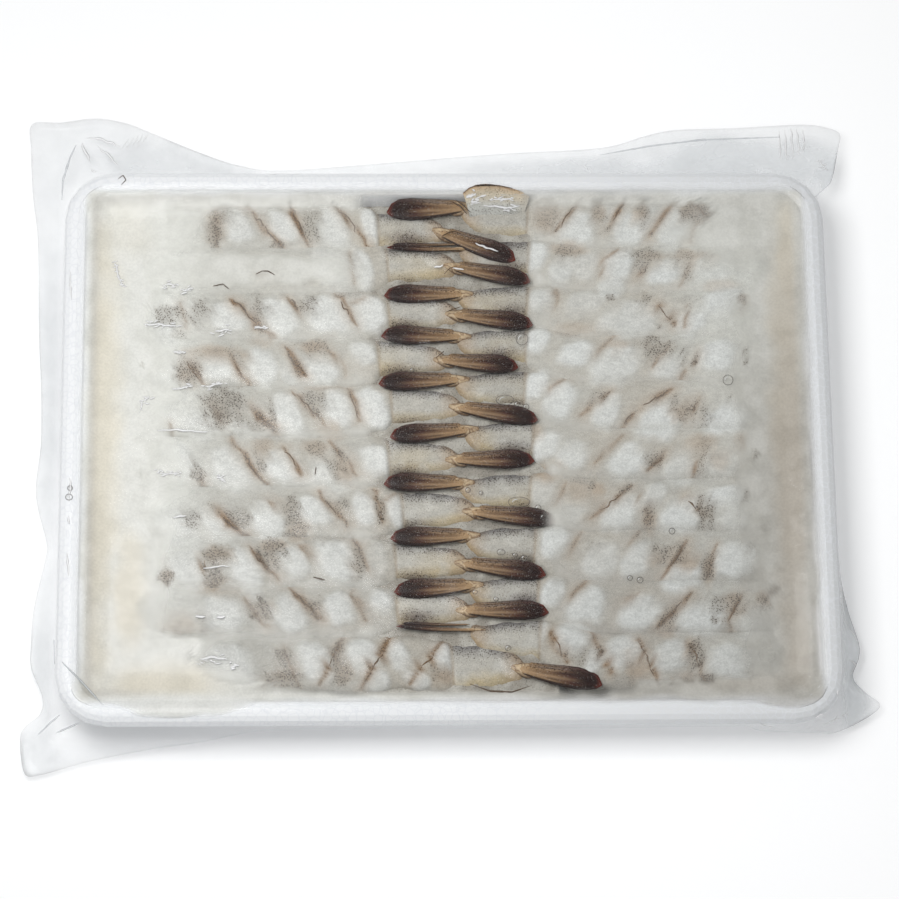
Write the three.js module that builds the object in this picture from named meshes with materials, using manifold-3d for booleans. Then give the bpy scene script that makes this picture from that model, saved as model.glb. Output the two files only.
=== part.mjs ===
// Nobashi shrimp: raw, peeled and stretched shrimp with their tails on, frozen in ice on a foam tray.
// They lie on their sides in two columns of ten. The tails point inwards and interlock along the
// middle. A clear vacuum bag wraps the tray and stands out round it as a thin wavy skirt with ears.
// Millimetres, +Z up. The origin is the middle of the tray's flat underside, +X along its length.

import * as THREE from "three";
import { mergeVertices } from "three/addons/utils/BufferGeometryUtils.js";
import Module from "manifold-3d";

// Foam tray, sizes over its rim
const trayLength = 246.4;
const trayDepth = 185.4;
const trayHeight = 20;
const cornerRadius = 16;
const smallestRadius = 5;
const cornerSteps = 4;
const rimWidth = 7.6;
const rimShoulderHeight = 18.2;
const crownHeight = 3.2;
const rimTopInset = 4.2;
const lipHeight = 14.2;
const lipOverhang = 3.6;
const lipRounding = 1.2;
const wallLean = Math.tan(THREE.MathUtils.degToRad(12));
const floorHeight = 3;
const floorFillet = 2.5;
const baseRounding = 1.2;

// Shrimp, from the cut head end to the tip of the closed tail fan. Each is stretched a little to
// reach from its head end near the wall to its own tip.
const shrimpLength = 132;
const leftHeadX = -104.5;
const rightHeadX = 111.5;
const headStub = 15.5;
const segmentCount = 5;
const segmentPitch = 14.2;
const bodyHalfWidth = 7.6;
const bodyHalfHeight = 6;
const bodyCentreHeight = 10.6;
const grooveDepth = 0.15;
const grooveSlant = 4;
const fanRidge = 0.09;
const pointsRound = 10;
const sectionSquareness = 0.85;
// The trough that a shrimp leaves in the ice is a plainer and slightly larger shape round it
const troughPointsRound = 8;
const troughGrowth = 1.08;

// One entry for each row from the back. bodyY is where the body lies, shellY where the last
// segment lies, and tip is the end of the fan: the tails shift sideways to interlock. The front
// left shrimp lies further in and is turned, so that its last segment shows wider.
const leftRows = [
  { bodyY: 75, shellY: 73.6, tip: [23, 63.5] },
  { bodyY: 59.4, shellY: 61.5, tip: [27.5, 56] },
  { bodyY: 43.6, shellY: 44.9, tip: [28, 41] },
  { bodyY: 27.7, shellY: 29.2, tip: [23, 26.5] },
  { bodyY: 11.6, shellY: 13.1, tip: [29, 8.5] },
  { bodyY: -5.5, shellY: -4.6, tip: [27.5, -5.2] },
  { bodyY: -22.5, shellY: -22, tip: [34, -25.5] },
  { bodyY: -39.3, shellY: -39.2, tip: [30.5, -43.2] },
  { bodyY: -55.8, shellY: -54.6, tip: [31, -55.4] },
  { bodyY: -72.3, shellY: -73.6, tip: [47.5, -79], headX: -86, girth: 1.3 },
];
const rightRows = [
  { bodyY: 75.3, shellY: 77.2, tip: [-19, 79.6] },
  { bodyY: 59.8, shellY: 64, tip: [-19, 67.3] },
  { bodyY: 44.3, shellY: 48.3, tip: [-20, 51.3] },
  { bodyY: 28.9, shellY: 33.6, tip: [-21, 37.4] },
  { bodyY: 13.1, shellY: 18.9, tip: [-22, 21] },
  { bodyY: -3.2, shellY: 1.9, tip: [-18.5, 3] },
  { bodyY: -20.6, shellY: -16, tip: [-20.5, -12.8] },
  { bodyY: -37.8, shellY: -33.6, tip: [-18.5, -31] },
  { bodyY: -54.3, shellY: -50, tip: [-17.5, -48.6] },
  { bodyY: -71.6, shellY: -64.6, tip: [-17, -60.6] },
];
// How far the fan's root lies to the side of the last segment, towards the neighbour's gap
const leftFanOffset = -1.2;
const rightFanOffset = 2.4;

// Cloudy ice round the shrimp
const iceTop = 13.6;
const iceShoulder = 12.2;
const iceShoulderWidth = 4;

// Space left between pieces that touch
const clearance = 0.3;

// Vacuum bag: its outer edge as [x, y, height], anticlockwise from the back left ear
const bagEdge = [
  [-134.5, 116.5, 3.5],
  [-134, 92, 5],
  [-131.5, 66, 6],
  [-130, 38, 6],
  [-129.2, 14, 6],
  [-131, -11, 5],
  [-127, -31, 7],
  [-131, -56, 5],
  [-127, -82, 7],
  [-134, -94, 3],
  [-133, -104, 2.5],
  [-121, -103, 2.5],
  [-93, -98.5, 5],
  [-54, -95.6, 10],
  [0, -94.8, 12],
  [60, -94.8, 12],
  [100, -94.8, 9],
  [123, -94, 4],
  [137, -85, 3],
  [131, -70, 6],
  [127.8, -48, 9],
  [125.6, 16, 12],
  [125.6, 72, 12],
  [129, 94, 9],
  [132, 113.5, 5],
  [104, 115, 5],
  [74, 113, 5],
  [50, 106.5, 7],
  [4, 101.5, 9],
  [-48, 97.5, 11],
  [-75, 101, 10],
  [-95, 112, 6],
  [-112, 118, 4],
];
const edgeSubdivisions = 2;
const bagThickness = 1.4;
const bagRootHeight = 15.6;
const bagRootGap = 0.5;
const bagSag = 1.2;

// Joins rings of equally many points into a closed skin. The rings run anticlockwise about the
// direction in which they follow each other. Open stacks get a fan of triangles on either end.
function loft(rings, closed = false) {
  const count = rings[0].length;
  const positions = rings.flat().flatMap((point) => point.toArray());
  const index = [];
  const strips = closed ? rings.length : rings.length - 1;
  for (let ring = 0; ring < strips; ring += 1) {
    const here = ring * count;
    const next = ((ring + 1) % rings.length) * count;
    for (let i = 0; i < count; i += 1) {
      const j = (i + 1) % count;
      index.push(here + i, here + j, next + j, here + i, next + j, next + i);
    }
  }
  if (!closed) {
    addCap(positions, index, rings[0], 0, true);
    addCap(positions, index, rings.at(-1), (rings.length - 1) * count, false);
  }
  const geometry = new THREE.BufferGeometry();
  geometry.setAttribute("position", new THREE.Float32BufferAttribute(positions, 3));
  geometry.setIndex(index);
  return geometry;
}

function addCap(positions, index, ring, first, facesBack) {
  const middle = ring.reduce((sum, point) => sum.add(point), new THREE.Vector3());
  middle.divideScalar(ring.length);
  const centre = positions.length / 3;
  positions.push(...middle.toArray());
  for (let i = 0; i < ring.length; i += 1) {
    const j = (i + 1) % ring.length;
    const turn = facesBack ? [j, i] : [i, j];
    index.push(centre, first + turn[0], first + turn[1]);
  }
}

// A rounded rectangle that runs inside the tray's outline by the given inset
function trayRing(inset, height) {
  const halfLength = trayLength / 2 - inset;
  const halfDepth = trayDepth / 2 - inset;
  const radius = Math.max(cornerRadius - inset, smallestRadius);
  const ring = [];
  for (let corner = 0; corner < 4; corner += 1) {
    const signX = corner === 0 || corner === 3 ? 1 : -1;
    const signY = corner < 2 ? 1 : -1;
    for (let step = 0; step <= cornerSteps; step += 1) {
      const angle = (Math.PI / 2) * (corner + step / cornerSteps);
      const x = signX * (halfLength - radius) + radius * Math.cos(angle);
      const y = signY * (halfDepth - radius) + radius * Math.sin(angle);
      ring.push(new THREE.Vector3(x, y, height));
    }
  }
  return ring;
}

const outerWallInset = (height) => lipOverhang + (lipHeight - height) * wallLean;
const innerWallInset = (height) => rimWidth + (rimShoulderHeight - height) * wallLean;

// The tray's section from the middle of the base outwards, over the rolled rim and down inside
function trayGeometry() {
  const filletTop = floorHeight + floorFillet;
  const floorInset = innerWallInset(filletTop);
  const section = [
    [outerWallInset(baseRounding) + baseRounding, 0],
    [outerWallInset(baseRounding), baseRounding],
    [lipOverhang, lipHeight],
    [lipRounding / 2, lipHeight],
    [0, lipHeight + lipRounding],
    ...rimCrown(),
    [rimWidth, rimShoulderHeight],
    [floorInset, filletTop],
    [floorInset + 0.3 * floorFillet, floorHeight + 0.3 * floorFillet],
    [floorInset + floorFillet, floorHeight],
  ];
  return loft(section.map(([inset, height]) => trayRing(inset, height)));
}

// The rim's crown: a quarter ellipse up from the lip to its top, then a gentler fall to the inside
function rimCrown() {
  const crown = [];
  for (const degrees of [0, 35, 62, 90, 125]) {
    const angle = THREE.MathUtils.degToRad(degrees);
    const inset = rimTopInset * (1 - Math.cos(angle));
    crown.push([inset, trayHeight - crownHeight * (1 - Math.sin(angle))]);
  }
  return crown;
}

// The peeled body's segments, each fullest near its rear
const segmentStart = (segment) => headStub + segment * segmentPitch;
const segmentBulge = (segment) => segmentStart(segment + 0.6);
const shellStart = segmentStart(segmentCount);
const fullBody = { halfWidth: bodyHalfWidth, halfHeight: bodyHalfHeight, height: bodyCentreHeight };

// Half sizes and run of a plain shrimp at its main sections. along is the distance from the head
// end, slant the share of the grooves' slant, tail the share of the tail's sideways shift, and fan
// the share of the fan's own run.
const shrimpSections = [
  { along: 0, halfWidth: 4.3, halfHeight: 3.6, height: 10, slant: 0, tail: 0, fan: 0 },
  { along: 0.55 * headStub, halfWidth: 7, halfHeight: 5.5, height: 10.4, slant: 0.5, tail: 0, fan: 0 },
  { along: headStub, ...fullBody, slant: 1, tail: 0, fan: 0 },
  { along: segmentBulge(3), ...fullBody, slant: 1, tail: 0, fan: 0 },
  { along: segmentBulge(4), halfWidth: 6.5, halfHeight: 5.5, height: 11.2, slant: 0.5, tail: 0.7, fan: 0 },
  { along: shellStart, halfWidth: 5, halfHeight: 4.9, height: 12, slant: 0, tail: 1, fan: 0 },
  { along: 97, halfWidth: 4.3, halfHeight: 4.4, height: 12.3, slant: 0, tail: 1, fan: 0 },
  { along: 106, halfWidth: 3.3, halfHeight: 3.5, height: 12.9, slant: 0, tail: 1, fan: 0 },
  { along: 109, halfWidth: 2.3, halfHeight: 2.8, height: 13.5, slant: 0, tail: 1, fan: 0.1 },
  { along: 119, halfWidth: 2.6, halfHeight: 2.9, height: 13.8, slant: 0, tail: 1, fan: 0.48 },
  { along: 128, halfWidth: 1.9, halfHeight: 2.2, height: 14, slant: 0, tail: 1, fan: 0.84 },
  { along: shrimpLength, halfWidth: 0.6, halfHeight: 0.8, height: 14, slant: 0, tail: 1, fan: 1 },
];
const fanStart = 106;
const fanBlend = 3;

// The plain shrimp's section at a distance along it, blended from the main sections either side
function sectionAt(along) {
  const reached = shrimpSections.findIndex((section) => section.along >= along);
  const upper = Math.max(reached, 1);
  const from = shrimpSections[upper - 1];
  const to = shrimpSections[upper];
  const share = (along - from.along) / (to.along - from.along);
  const blend = (key) => THREE.MathUtils.lerp(from[key], to[key], share);
  const keys = ["along", "halfWidth", "halfHeight", "height", "slant", "tail", "fan"];
  return Object.fromEntries(keys.map((key) => [key, blend(key)]));
}

// Distances of all rings of a shrimp, with the depth of the groove that parts two segments there
function shrimpStations() {
  const grooves = new Map(shrimpSections.map(({ along }) => [along, 0]));
  for (let segment = 0; segment <= segmentCount; segment += 1) {
    grooves.set(segmentStart(segment), grooveDepth);
    if (segment < segmentCount) {
      grooves.set(segmentBulge(segment), 0);
    }
  }
  return [...grooves].sort((a, b) => a[0] - b[0]);
}

function sectionRing(section, shrimp, halfWidth, halfHeight, points = pointsRound, ridged = false) {
  const { side, place } = shrimp;
  const headX = place.headX ?? (side < 0 ? leftHeadX : rightHeadX);
  const stretch = Math.abs(place.tip[0] - headX) / shrimpLength;
  const girth = 1 + ((place.girth ?? 1) - 1) * section.tail;
  const rootY = place.shellY + (side < 0 ? leftFanOffset : rightFanOffset);
  const fanY = THREE.MathUtils.lerp(rootY, place.tip[1], section.fan);
  const fanShare = THREE.MathUtils.smoothstep(section.along, fanStart - fanBlend, fanStart + fanBlend);
  const shellY = THREE.MathUtils.lerp(place.bodyY, place.shellY, section.tail);
  const middleY = THREE.MathUtils.lerp(shellY, fanY, fanShare);
  const ring = [];
  for (let i = 0; i < points; i += 1) {
    const angle = (2 * Math.PI * i) / points;
    const ridge = ridged && i % 2 === 1 ? 1 - fanRidge : 1;
    const across = squared(Math.cos(angle)) * ridge;
    const up = squared(Math.sin(angle)) * ridge;
    const slant = grooveSlant * section.slant * across;
    ring.push(
      new THREE.Vector3(
        headX - side * (section.along * stretch - slant),
        middleY + halfWidth * girth * across,
        section.height + halfHeight * up,
      ),
    );
  }
  return side < 0 ? ring : ring.reverse();
}

function squared(value) {
  return Math.sign(value) * Math.abs(value) ** sectionSquareness;
}

// One shrimp with bulging, slanted segments, a slim last segment in its shell, and a ridged fan
function shrimpGeometry(shrimp) {
  const rings = shrimpStations().map(([along, groove]) => {
    const section = sectionAt(along);
    const fullness = 1 - groove;
    const ridged = along > fanStart && along < shrimpLength;
    return sectionRing(
      section,
      shrimp,
      section.halfWidth * fullness,
      section.halfHeight * fullness,
      pointsRound,
      ridged,
    );
  });
  return loft(rings);
}

// Moves the first and last ring of a stack outwards, away from each other
function lengthen(rings, shrimp) {
  const outwards = shrimp.side * clearance;
  rings[0].forEach((point) => point.setX(point.x + outwards));
  rings.at(-1).forEach((point) => point.setX(point.x - outwards));
  return rings;
}

// The plain outer shape of a shrimp grown by the clearance, used to cut its neighbours
function clearanceGeometry(shrimp) {
  const rings = shrimpSections.map((section) =>
    sectionRing(section, shrimp, section.halfWidth + clearance, section.halfHeight + clearance),
  );
  return loft(lengthen(rings, shrimp));
}

// The trough's main sections, each wide enough to hold the shrimp up to the next one
const troughSections = [
  { along: 0, halfWidth: 6, halfHeight: 4.8 },
  { along: headStub, halfWidth: bodyHalfWidth, halfHeight: bodyHalfHeight },
  { along: segmentBulge(3), halfWidth: bodyHalfWidth, halfHeight: bodyHalfHeight },
  { along: shellStart, halfWidth: 6.3, halfHeight: 5.9 },
  { along: 103, halfWidth: 4.2, halfHeight: 4.4 },
  { along: 109, halfWidth: 3.2, halfHeight: 3.6 },
  { along: shrimpLength, halfWidth: 1.6, halfHeight: 1.8 },
];

function troughGeometry(shrimp) {
  const rings = troughSections.map(({ along, halfWidth, halfHeight }) =>
    sectionRing(
      sectionAt(along),
      shrimp,
      halfWidth * troughGrowth + clearance,
      halfHeight * troughGrowth + clearance,
      troughPointsRound,
    ),
  );
  return loft(lengthen(rings, shrimp));
}

// A slab that fills the tray to just under its rim, dished down towards the wall
function iceSlabGeometry() {
  const bottom = floorHeight + clearance;
  const filletTop = floorHeight + floorFillet;
  const wallGap = (height) => innerWallInset(height) + clearance;
  const section = [
    [wallGap(filletTop) + floorFillet + clearance, bottom],
    [wallGap(filletTop) + clearance, filletTop],
    [wallGap(iceShoulder), iceShoulder],
    [wallGap(iceShoulder) + iceShoulderWidth, iceTop],
  ];
  return loft(section.map(([inset, height]) => trayRing(inset, height)));
}

// The nearest point of the tray's lip, a little outside it, to a point of the bag's edge
function bagRoot(point) {
  const coreX = trayLength / 2 - cornerRadius;
  const coreY = trayDepth / 2 - cornerRadius;
  const core = new THREE.Vector3(
    THREE.MathUtils.clamp(point.x, -coreX, coreX),
    THREE.MathUtils.clamp(point.y, -coreY, coreY),
    0,
  );
  const outwards = new THREE.Vector3(point.x, point.y, 0).sub(core).normalize();
  return core.addScaledVector(outwards, cornerRadius + bagRootGap).setZ(bagRootHeight);
}

// The skirt of film round the tray: from the lip it falls outwards to the bag's wavy edge
function bagGeometry() {
  const corners = bagEdge.map(([x, y, height]) => new THREE.Vector3(x, y, height));
  const curve = new THREE.CatmullRomCurve3(corners, true, "centripetal");
  const edge = curve.getPoints(corners.length * edgeSubdivisions).slice(0, -1);
  const root = edge.map(bagRoot);
  const middle = edge.map((point, i) => {
    const between = point.clone().lerp(root[i], 0.5);
    return between.setZ(between.z - bagSag);
  });
  const lower = (ring) => ring.map((point) => point.clone().setZ(point.z - bagThickness));
  return loft([lower(root), lower(middle), lower(edge), edge, middle, root], true);
}

const wasm = await Module();
wasm.setup();

function solidOf(geometry) {
  const merged = mergeVertices(geometry);
  const vertProperties = new Float32Array(merged.attributes.position.array);
  const triVerts = new Uint32Array(merged.index.array);
  return new wasm.Manifold(new wasm.Mesh({ numProp: 3, vertProperties, triVerts }));
}

// The largest body of a solid, without the loose scraps that cutting can leave
function largestBody(solid) {
  return solid.decompose().reduce((best, body) => (body.volume() > best.volume() ? body : best));
}

function geometryOf(solid) {
  const mesh = solid.getMesh();
  const geometry = new THREE.BufferGeometry();
  geometry.setAttribute("position", new THREE.Float32BufferAttribute(mesh.vertProperties, 3));
  geometry.setIndex([...mesh.triVerts]);
  return geometry;
}

function meshOf(name, geometry, look) {
  geometry.computeVertexNormals();
  const mesh = new THREE.Mesh(geometry, new THREE.MeshStandardMaterial(look));
  mesh.name = name;
  return mesh;
}

const shrimpOf = (side) => (place, row) => ({ side, row, place });
const leftShrimp = leftRows.map(shrimpOf(-1));
const rightShrimp = rightRows.map(shrimpOf(1));

// Each right-hand shrimp gives way to the left-hand neighbours that its tail lies against
function rightShrimpSolid(shrimp) {
  const neighbours = leftShrimp.filter(({ row }) => Math.abs(row - shrimp.row) <= 1);
  let solid = solidOf(shrimpGeometry(shrimp));
  for (const neighbour of neighbours) {
    solid = solid.subtract(solidOf(clearanceGeometry(neighbour)));
  }
  return largestBody(solid);
}

function iceSolid() {
  let solid = solidOf(iceSlabGeometry());
  for (const shrimp of [...leftShrimp, ...rightShrimp]) {
    solid = solid.subtract(solidOf(troughGeometry(shrimp)));
  }
  return largestBody(solid);
}

const foam = { color: 0xeef0f1, roughness: 0.8, metalness: 0 };
const film = { color: 0xe6e9eb, roughness: 0.15, metalness: 0, transparent: true, opacity: 0.35 };
const ice = { color: 0xdcded8, roughness: 0.35, metalness: 0, transparent: true, opacity: 0.7 };
const flesh = { color: 0xc9c8bf, roughness: 0.4, metalness: 0 };

const pack = new THREE.Group();
pack.add(meshOf("tray", trayGeometry(), foam));
pack.add(meshOf("bag", bagGeometry(), film));
pack.add(meshOf("ice", geometryOf(iceSolid()), ice));
const twoDigits = (row) => String(row + 1).padStart(2, "0");
for (const shrimp of leftShrimp) {
  pack.add(meshOf(`shrimp_left_${twoDigits(shrimp.row)}`, shrimpGeometry(shrimp), flesh));
}
for (const shrimp of rightShrimp) {
  const geometry = geometryOf(rightShrimpSolid(shrimp));
  pack.add(meshOf(`shrimp_right_${twoDigits(shrimp.row)}`, geometry, flesh));
}

export default pack;
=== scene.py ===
import math

import bpy
import numpy as np
from mathutils import Matrix, Vector
from mathutils.bvhtree import BVHTree


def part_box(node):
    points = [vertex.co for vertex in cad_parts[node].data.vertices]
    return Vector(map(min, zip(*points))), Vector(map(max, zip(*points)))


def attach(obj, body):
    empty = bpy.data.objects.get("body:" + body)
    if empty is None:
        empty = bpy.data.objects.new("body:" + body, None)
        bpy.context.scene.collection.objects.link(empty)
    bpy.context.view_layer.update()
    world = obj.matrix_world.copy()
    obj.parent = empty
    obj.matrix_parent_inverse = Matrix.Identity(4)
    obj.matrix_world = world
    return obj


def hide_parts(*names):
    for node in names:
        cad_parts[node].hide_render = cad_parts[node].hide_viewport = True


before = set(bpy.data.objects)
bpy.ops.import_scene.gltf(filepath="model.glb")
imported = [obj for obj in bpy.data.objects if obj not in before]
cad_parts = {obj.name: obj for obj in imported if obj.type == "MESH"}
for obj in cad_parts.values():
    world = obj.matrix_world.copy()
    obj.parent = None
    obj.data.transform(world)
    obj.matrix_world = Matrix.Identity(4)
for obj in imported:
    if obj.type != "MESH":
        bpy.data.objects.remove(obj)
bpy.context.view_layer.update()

# Sizes and places are in millimetres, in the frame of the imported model, up to the point where a
# mesh, light or camera is made. Pixels are those of the square photograph.
MM = 0.001
IMAGE_SIZE = 899

# Camera, found from the tray's rim corners in the photograph
CAMERA_ELEVATION = math.radians(71)
CAMERA_SWING = math.radians(5)
CAMERA_ROLL = math.radians(4.579)
CAMERA_DISTANCE = 1217
CAMERA_TARGET = np.array([0.39, -3.5, 20.0])
FOCAL_LENGTH_PIXELS = 3831
SENSOR_WIDTH = 36

# Rows from the back: y of the body, of the last segment and of the tip of the fan
LEFT_ROWS = [
    (75, 73.6, 63.5),
    (59.4, 61.5, 56),
    (43.6, 44.9, 41),
    (27.7, 29.2, 26.5),
    (11.6, 13.1, 8.5),
    (-5.5, -4.6, -5.2),
    (-22.5, -22, -25.5),
    (-39.3, -39.2, -43.2),
    (-55.8, -54.6, -55.4),
    (-72.3, -73.6, -79),
]
RIGHT_ROWS = [
    (75.3, 78.6, 80.6),
    (59.8, 64, 67.3),
    (44.3, 48.3, 51.3),
    (28.9, 33.6, 37.4),
    (13.1, 18.9, 21),
    (-3.2, 1.9, 3),
    (-20.6, -16, -12.8),
    (-37.8, -33.6, -31),
    (-54.3, -50, -48.6),
    (-71.6, -64.6, -60.6),
]
FRONT_LEFT_GIRTH = 1.12
SHELL_GIRTH = {"right_01": 1.2, "left_10": 1.1}
FAN_GIRTH = {"right_02": 0.35, "right_10": 0.3, "left_10": 1.15, "left_01": 1.1, "right_01": 1.25}
FAN_OFFSET = {"left": -1.2, "right": 2.4}

# A shrimp lying on its side, before it is stretched to its own length. Sections are given as
# (distance from the head end, half width, half height, height of the middle, slant, tail), where
# slant and tail are shares of the grooves' slant and of the tail's sideways shift.
SHRIMP_LENGTH = 132
SECTIONS = [
    (0, 4.6, 3.6, 10, 0, 0),
    (8.5, 8, 5.5, 10.4, 0.5, 0),
    (15.5, 9.3, 6, 10.6, 1, 0),
    (70, 9.3, 6, 10.6, 1, 0),
    (82, 8.5, 5.7, 10.8, 0.5, 0.75),
    (87, 7, 5.2, 11.3, 0, 1),
    (97, 6.4, 4.7, 11.8, 0, 1),
    (105, 4.4, 3.8, 12.6, 0, 1),
    (109, 2.4, 2.8, 13.2, 0, 1),
]
BODY_END = 109
SHELL_START = 85.5
FAN_START = 105
GROOVE_SLANT = 4
BODY_SQUARENESS = 0.46
SHELL_SQUARENESS = 0.85

# Height of the flesh under the pixels that place things on it, the photograph's usual scale, the
# strength from which a seam gets a dark core, how deep seams are cut, how much lobes stand out, and
# how far they lean towards the heads
SURFACE_HEIGHT = 16.5
PIXELS_PER_MM = 3.1
STRONG_SEAM = 0.65
SEAM_DEPTH = 0.35
LOBE_RELIEF = 0.375
LOBE_SHEAR = 0.22

# What shows on each shrimp, placed by pixels of the photograph. A seam is a thin tan line between
# two segments: (x, y, x, y, strength). A patch is an area of fine dark specks: (x, y, half width,
# half height, strength).
SEAMS = {
    "left_01": [
        (215, 206, 218, 248, 0.5), (246, 206, 283, 248, 0.8), (289, 205, 308, 245, 0.9),
        (333, 203, 368, 245, 0.7),
    ],
    "left_02": [(350, 252, 356, 282, 0.3), (258, 275, 276, 273, 0.5)],
    "left_03": [
        (180, 303, 186, 328, 0.4), (232, 299, 262, 330, 1), (262, 330, 285, 348, 0.5),
        (288, 298, 302, 313, 0.8), (337, 293, 356, 325, 0.7), (350, 304, 366, 297, 0.4),
    ],
    "left_04": [
        (185, 357, 210, 395, 0.7), (230, 357, 252, 388, 0.7), (285, 348, 305, 378, 0.9),
        (326, 350, 343, 364, 0.6), (343, 364, 345, 378, 0.3),
    ],
    "left_05": [
        (212, 405, 222, 420, 0.5), (250, 408, 278, 432, 0.9), (293, 392, 325, 425, 0.7),
        (349, 388, 360, 420, 0.7), (305, 388, 347, 387, 0.3), (170, 425, 172, 436, 0.6),
    ],
    "left_06": [
        (200, 480, 210, 497, 0.6), (230, 430, 239, 449, 0.6), (239, 449, 270, 491, 0.9),
        (283, 448, 302, 475, 0.7), (330, 440, 357, 475, 0.6),
    ],
    "left_07": [
        (215, 510, 252, 542, 1), (268, 500, 286, 510, 0.6), (318, 492, 348, 525, 0.8),
        (373, 488, 382, 522, 0.6), (395, 493, 383, 503, 0.4),
    ],
    "left_08": [
        (207, 558, 203, 572, 0.7), (250, 548, 278, 580, 0.8), (300, 545, 313, 556, 0.5),
        (346, 530, 360, 548, 0.8), (360, 548, 367, 571, 0.5),
    ],
    "left_09": [
        (243, 600, 268, 627, 0.5), (288, 583, 322, 622, 0.9), (352, 592, 367, 620, 0.6),
    ],
    "left_10": [
        (270, 680, 252, 700, 0.7), (283, 650, 300, 690, 0.5), (345, 633, 320, 684, 0.8),
        (392, 632, 362, 687, 1), (444, 638, 410, 684, 0.7), (463, 650, 457, 684, 0.5),
    ],
    "right_01": [
        (581, 200, 555, 232, 0.7), (627, 197, 608, 228, 0.8), (676, 200, 648, 237, 0.8),
        (694, 203, 712, 225, 0.7), (697, 215, 690, 243, 0.5),
    ],
    "right_02": [
        (618, 250, 603, 260, 0.5), (603, 260, 602, 275, 0.5), (651, 264, 638, 276, 0.7),
        (692, 262, 680, 286, 0.4),
    ],
    "right_03": [
        (555, 290, 557, 307, 0.5), (657, 304, 675, 325, 0.8), (686, 308, 684, 328, 0.5),
    ],
    "right_04": [
        (615, 335, 595, 355, 0.5), (668, 348, 652, 368, 0.5), (698, 352, 694, 366, 0.6),
        (686, 370, 679, 383, 0.6),
    ],
    "right_05": [
        (567, 377, 548, 390, 0.5), (610, 392, 580, 416, 0.6), (673, 388, 640, 408, 0.9),
        (634, 413, 622, 428, 0.7), (700, 398, 692, 413, 0.7),
    ],
    "right_06": [
        (622, 436, 595, 463, 0.5), (668, 452, 648, 470, 0.7), (697, 460, 690, 485, 0.6),
    ],
    "right_07": [
        (566, 483, 558, 502, 0.5), (630, 487, 590, 519, 0.7), (638, 497, 650, 525, 0.5),
        (685, 497, 702, 513, 0.8),
    ],
    "right_08": [
        (580, 533, 568, 556, 0.5), (640, 530, 628, 545, 0.4), (686, 542, 662, 578, 0.7),
        (716, 545, 706, 578, 0.6),
    ],
    "right_09": [
        (592, 575, 568, 599, 0.6), (640, 593, 615, 606, 0.5), (690, 595, 658, 627, 0.9),
        (742, 595, 727, 622, 0.7), (727, 622, 735, 637, 0.6), (780, 585, 767, 598, 0.6),
    ],
    "right_10": [
        (551, 632, 566, 663, 0.7), (589, 624, 612, 672, 0.8), (638, 640, 660, 688, 0.8),
        (690, 645, 702, 672, 0.7), (702, 672, 713, 692, 0.8),
    ],
}
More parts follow.
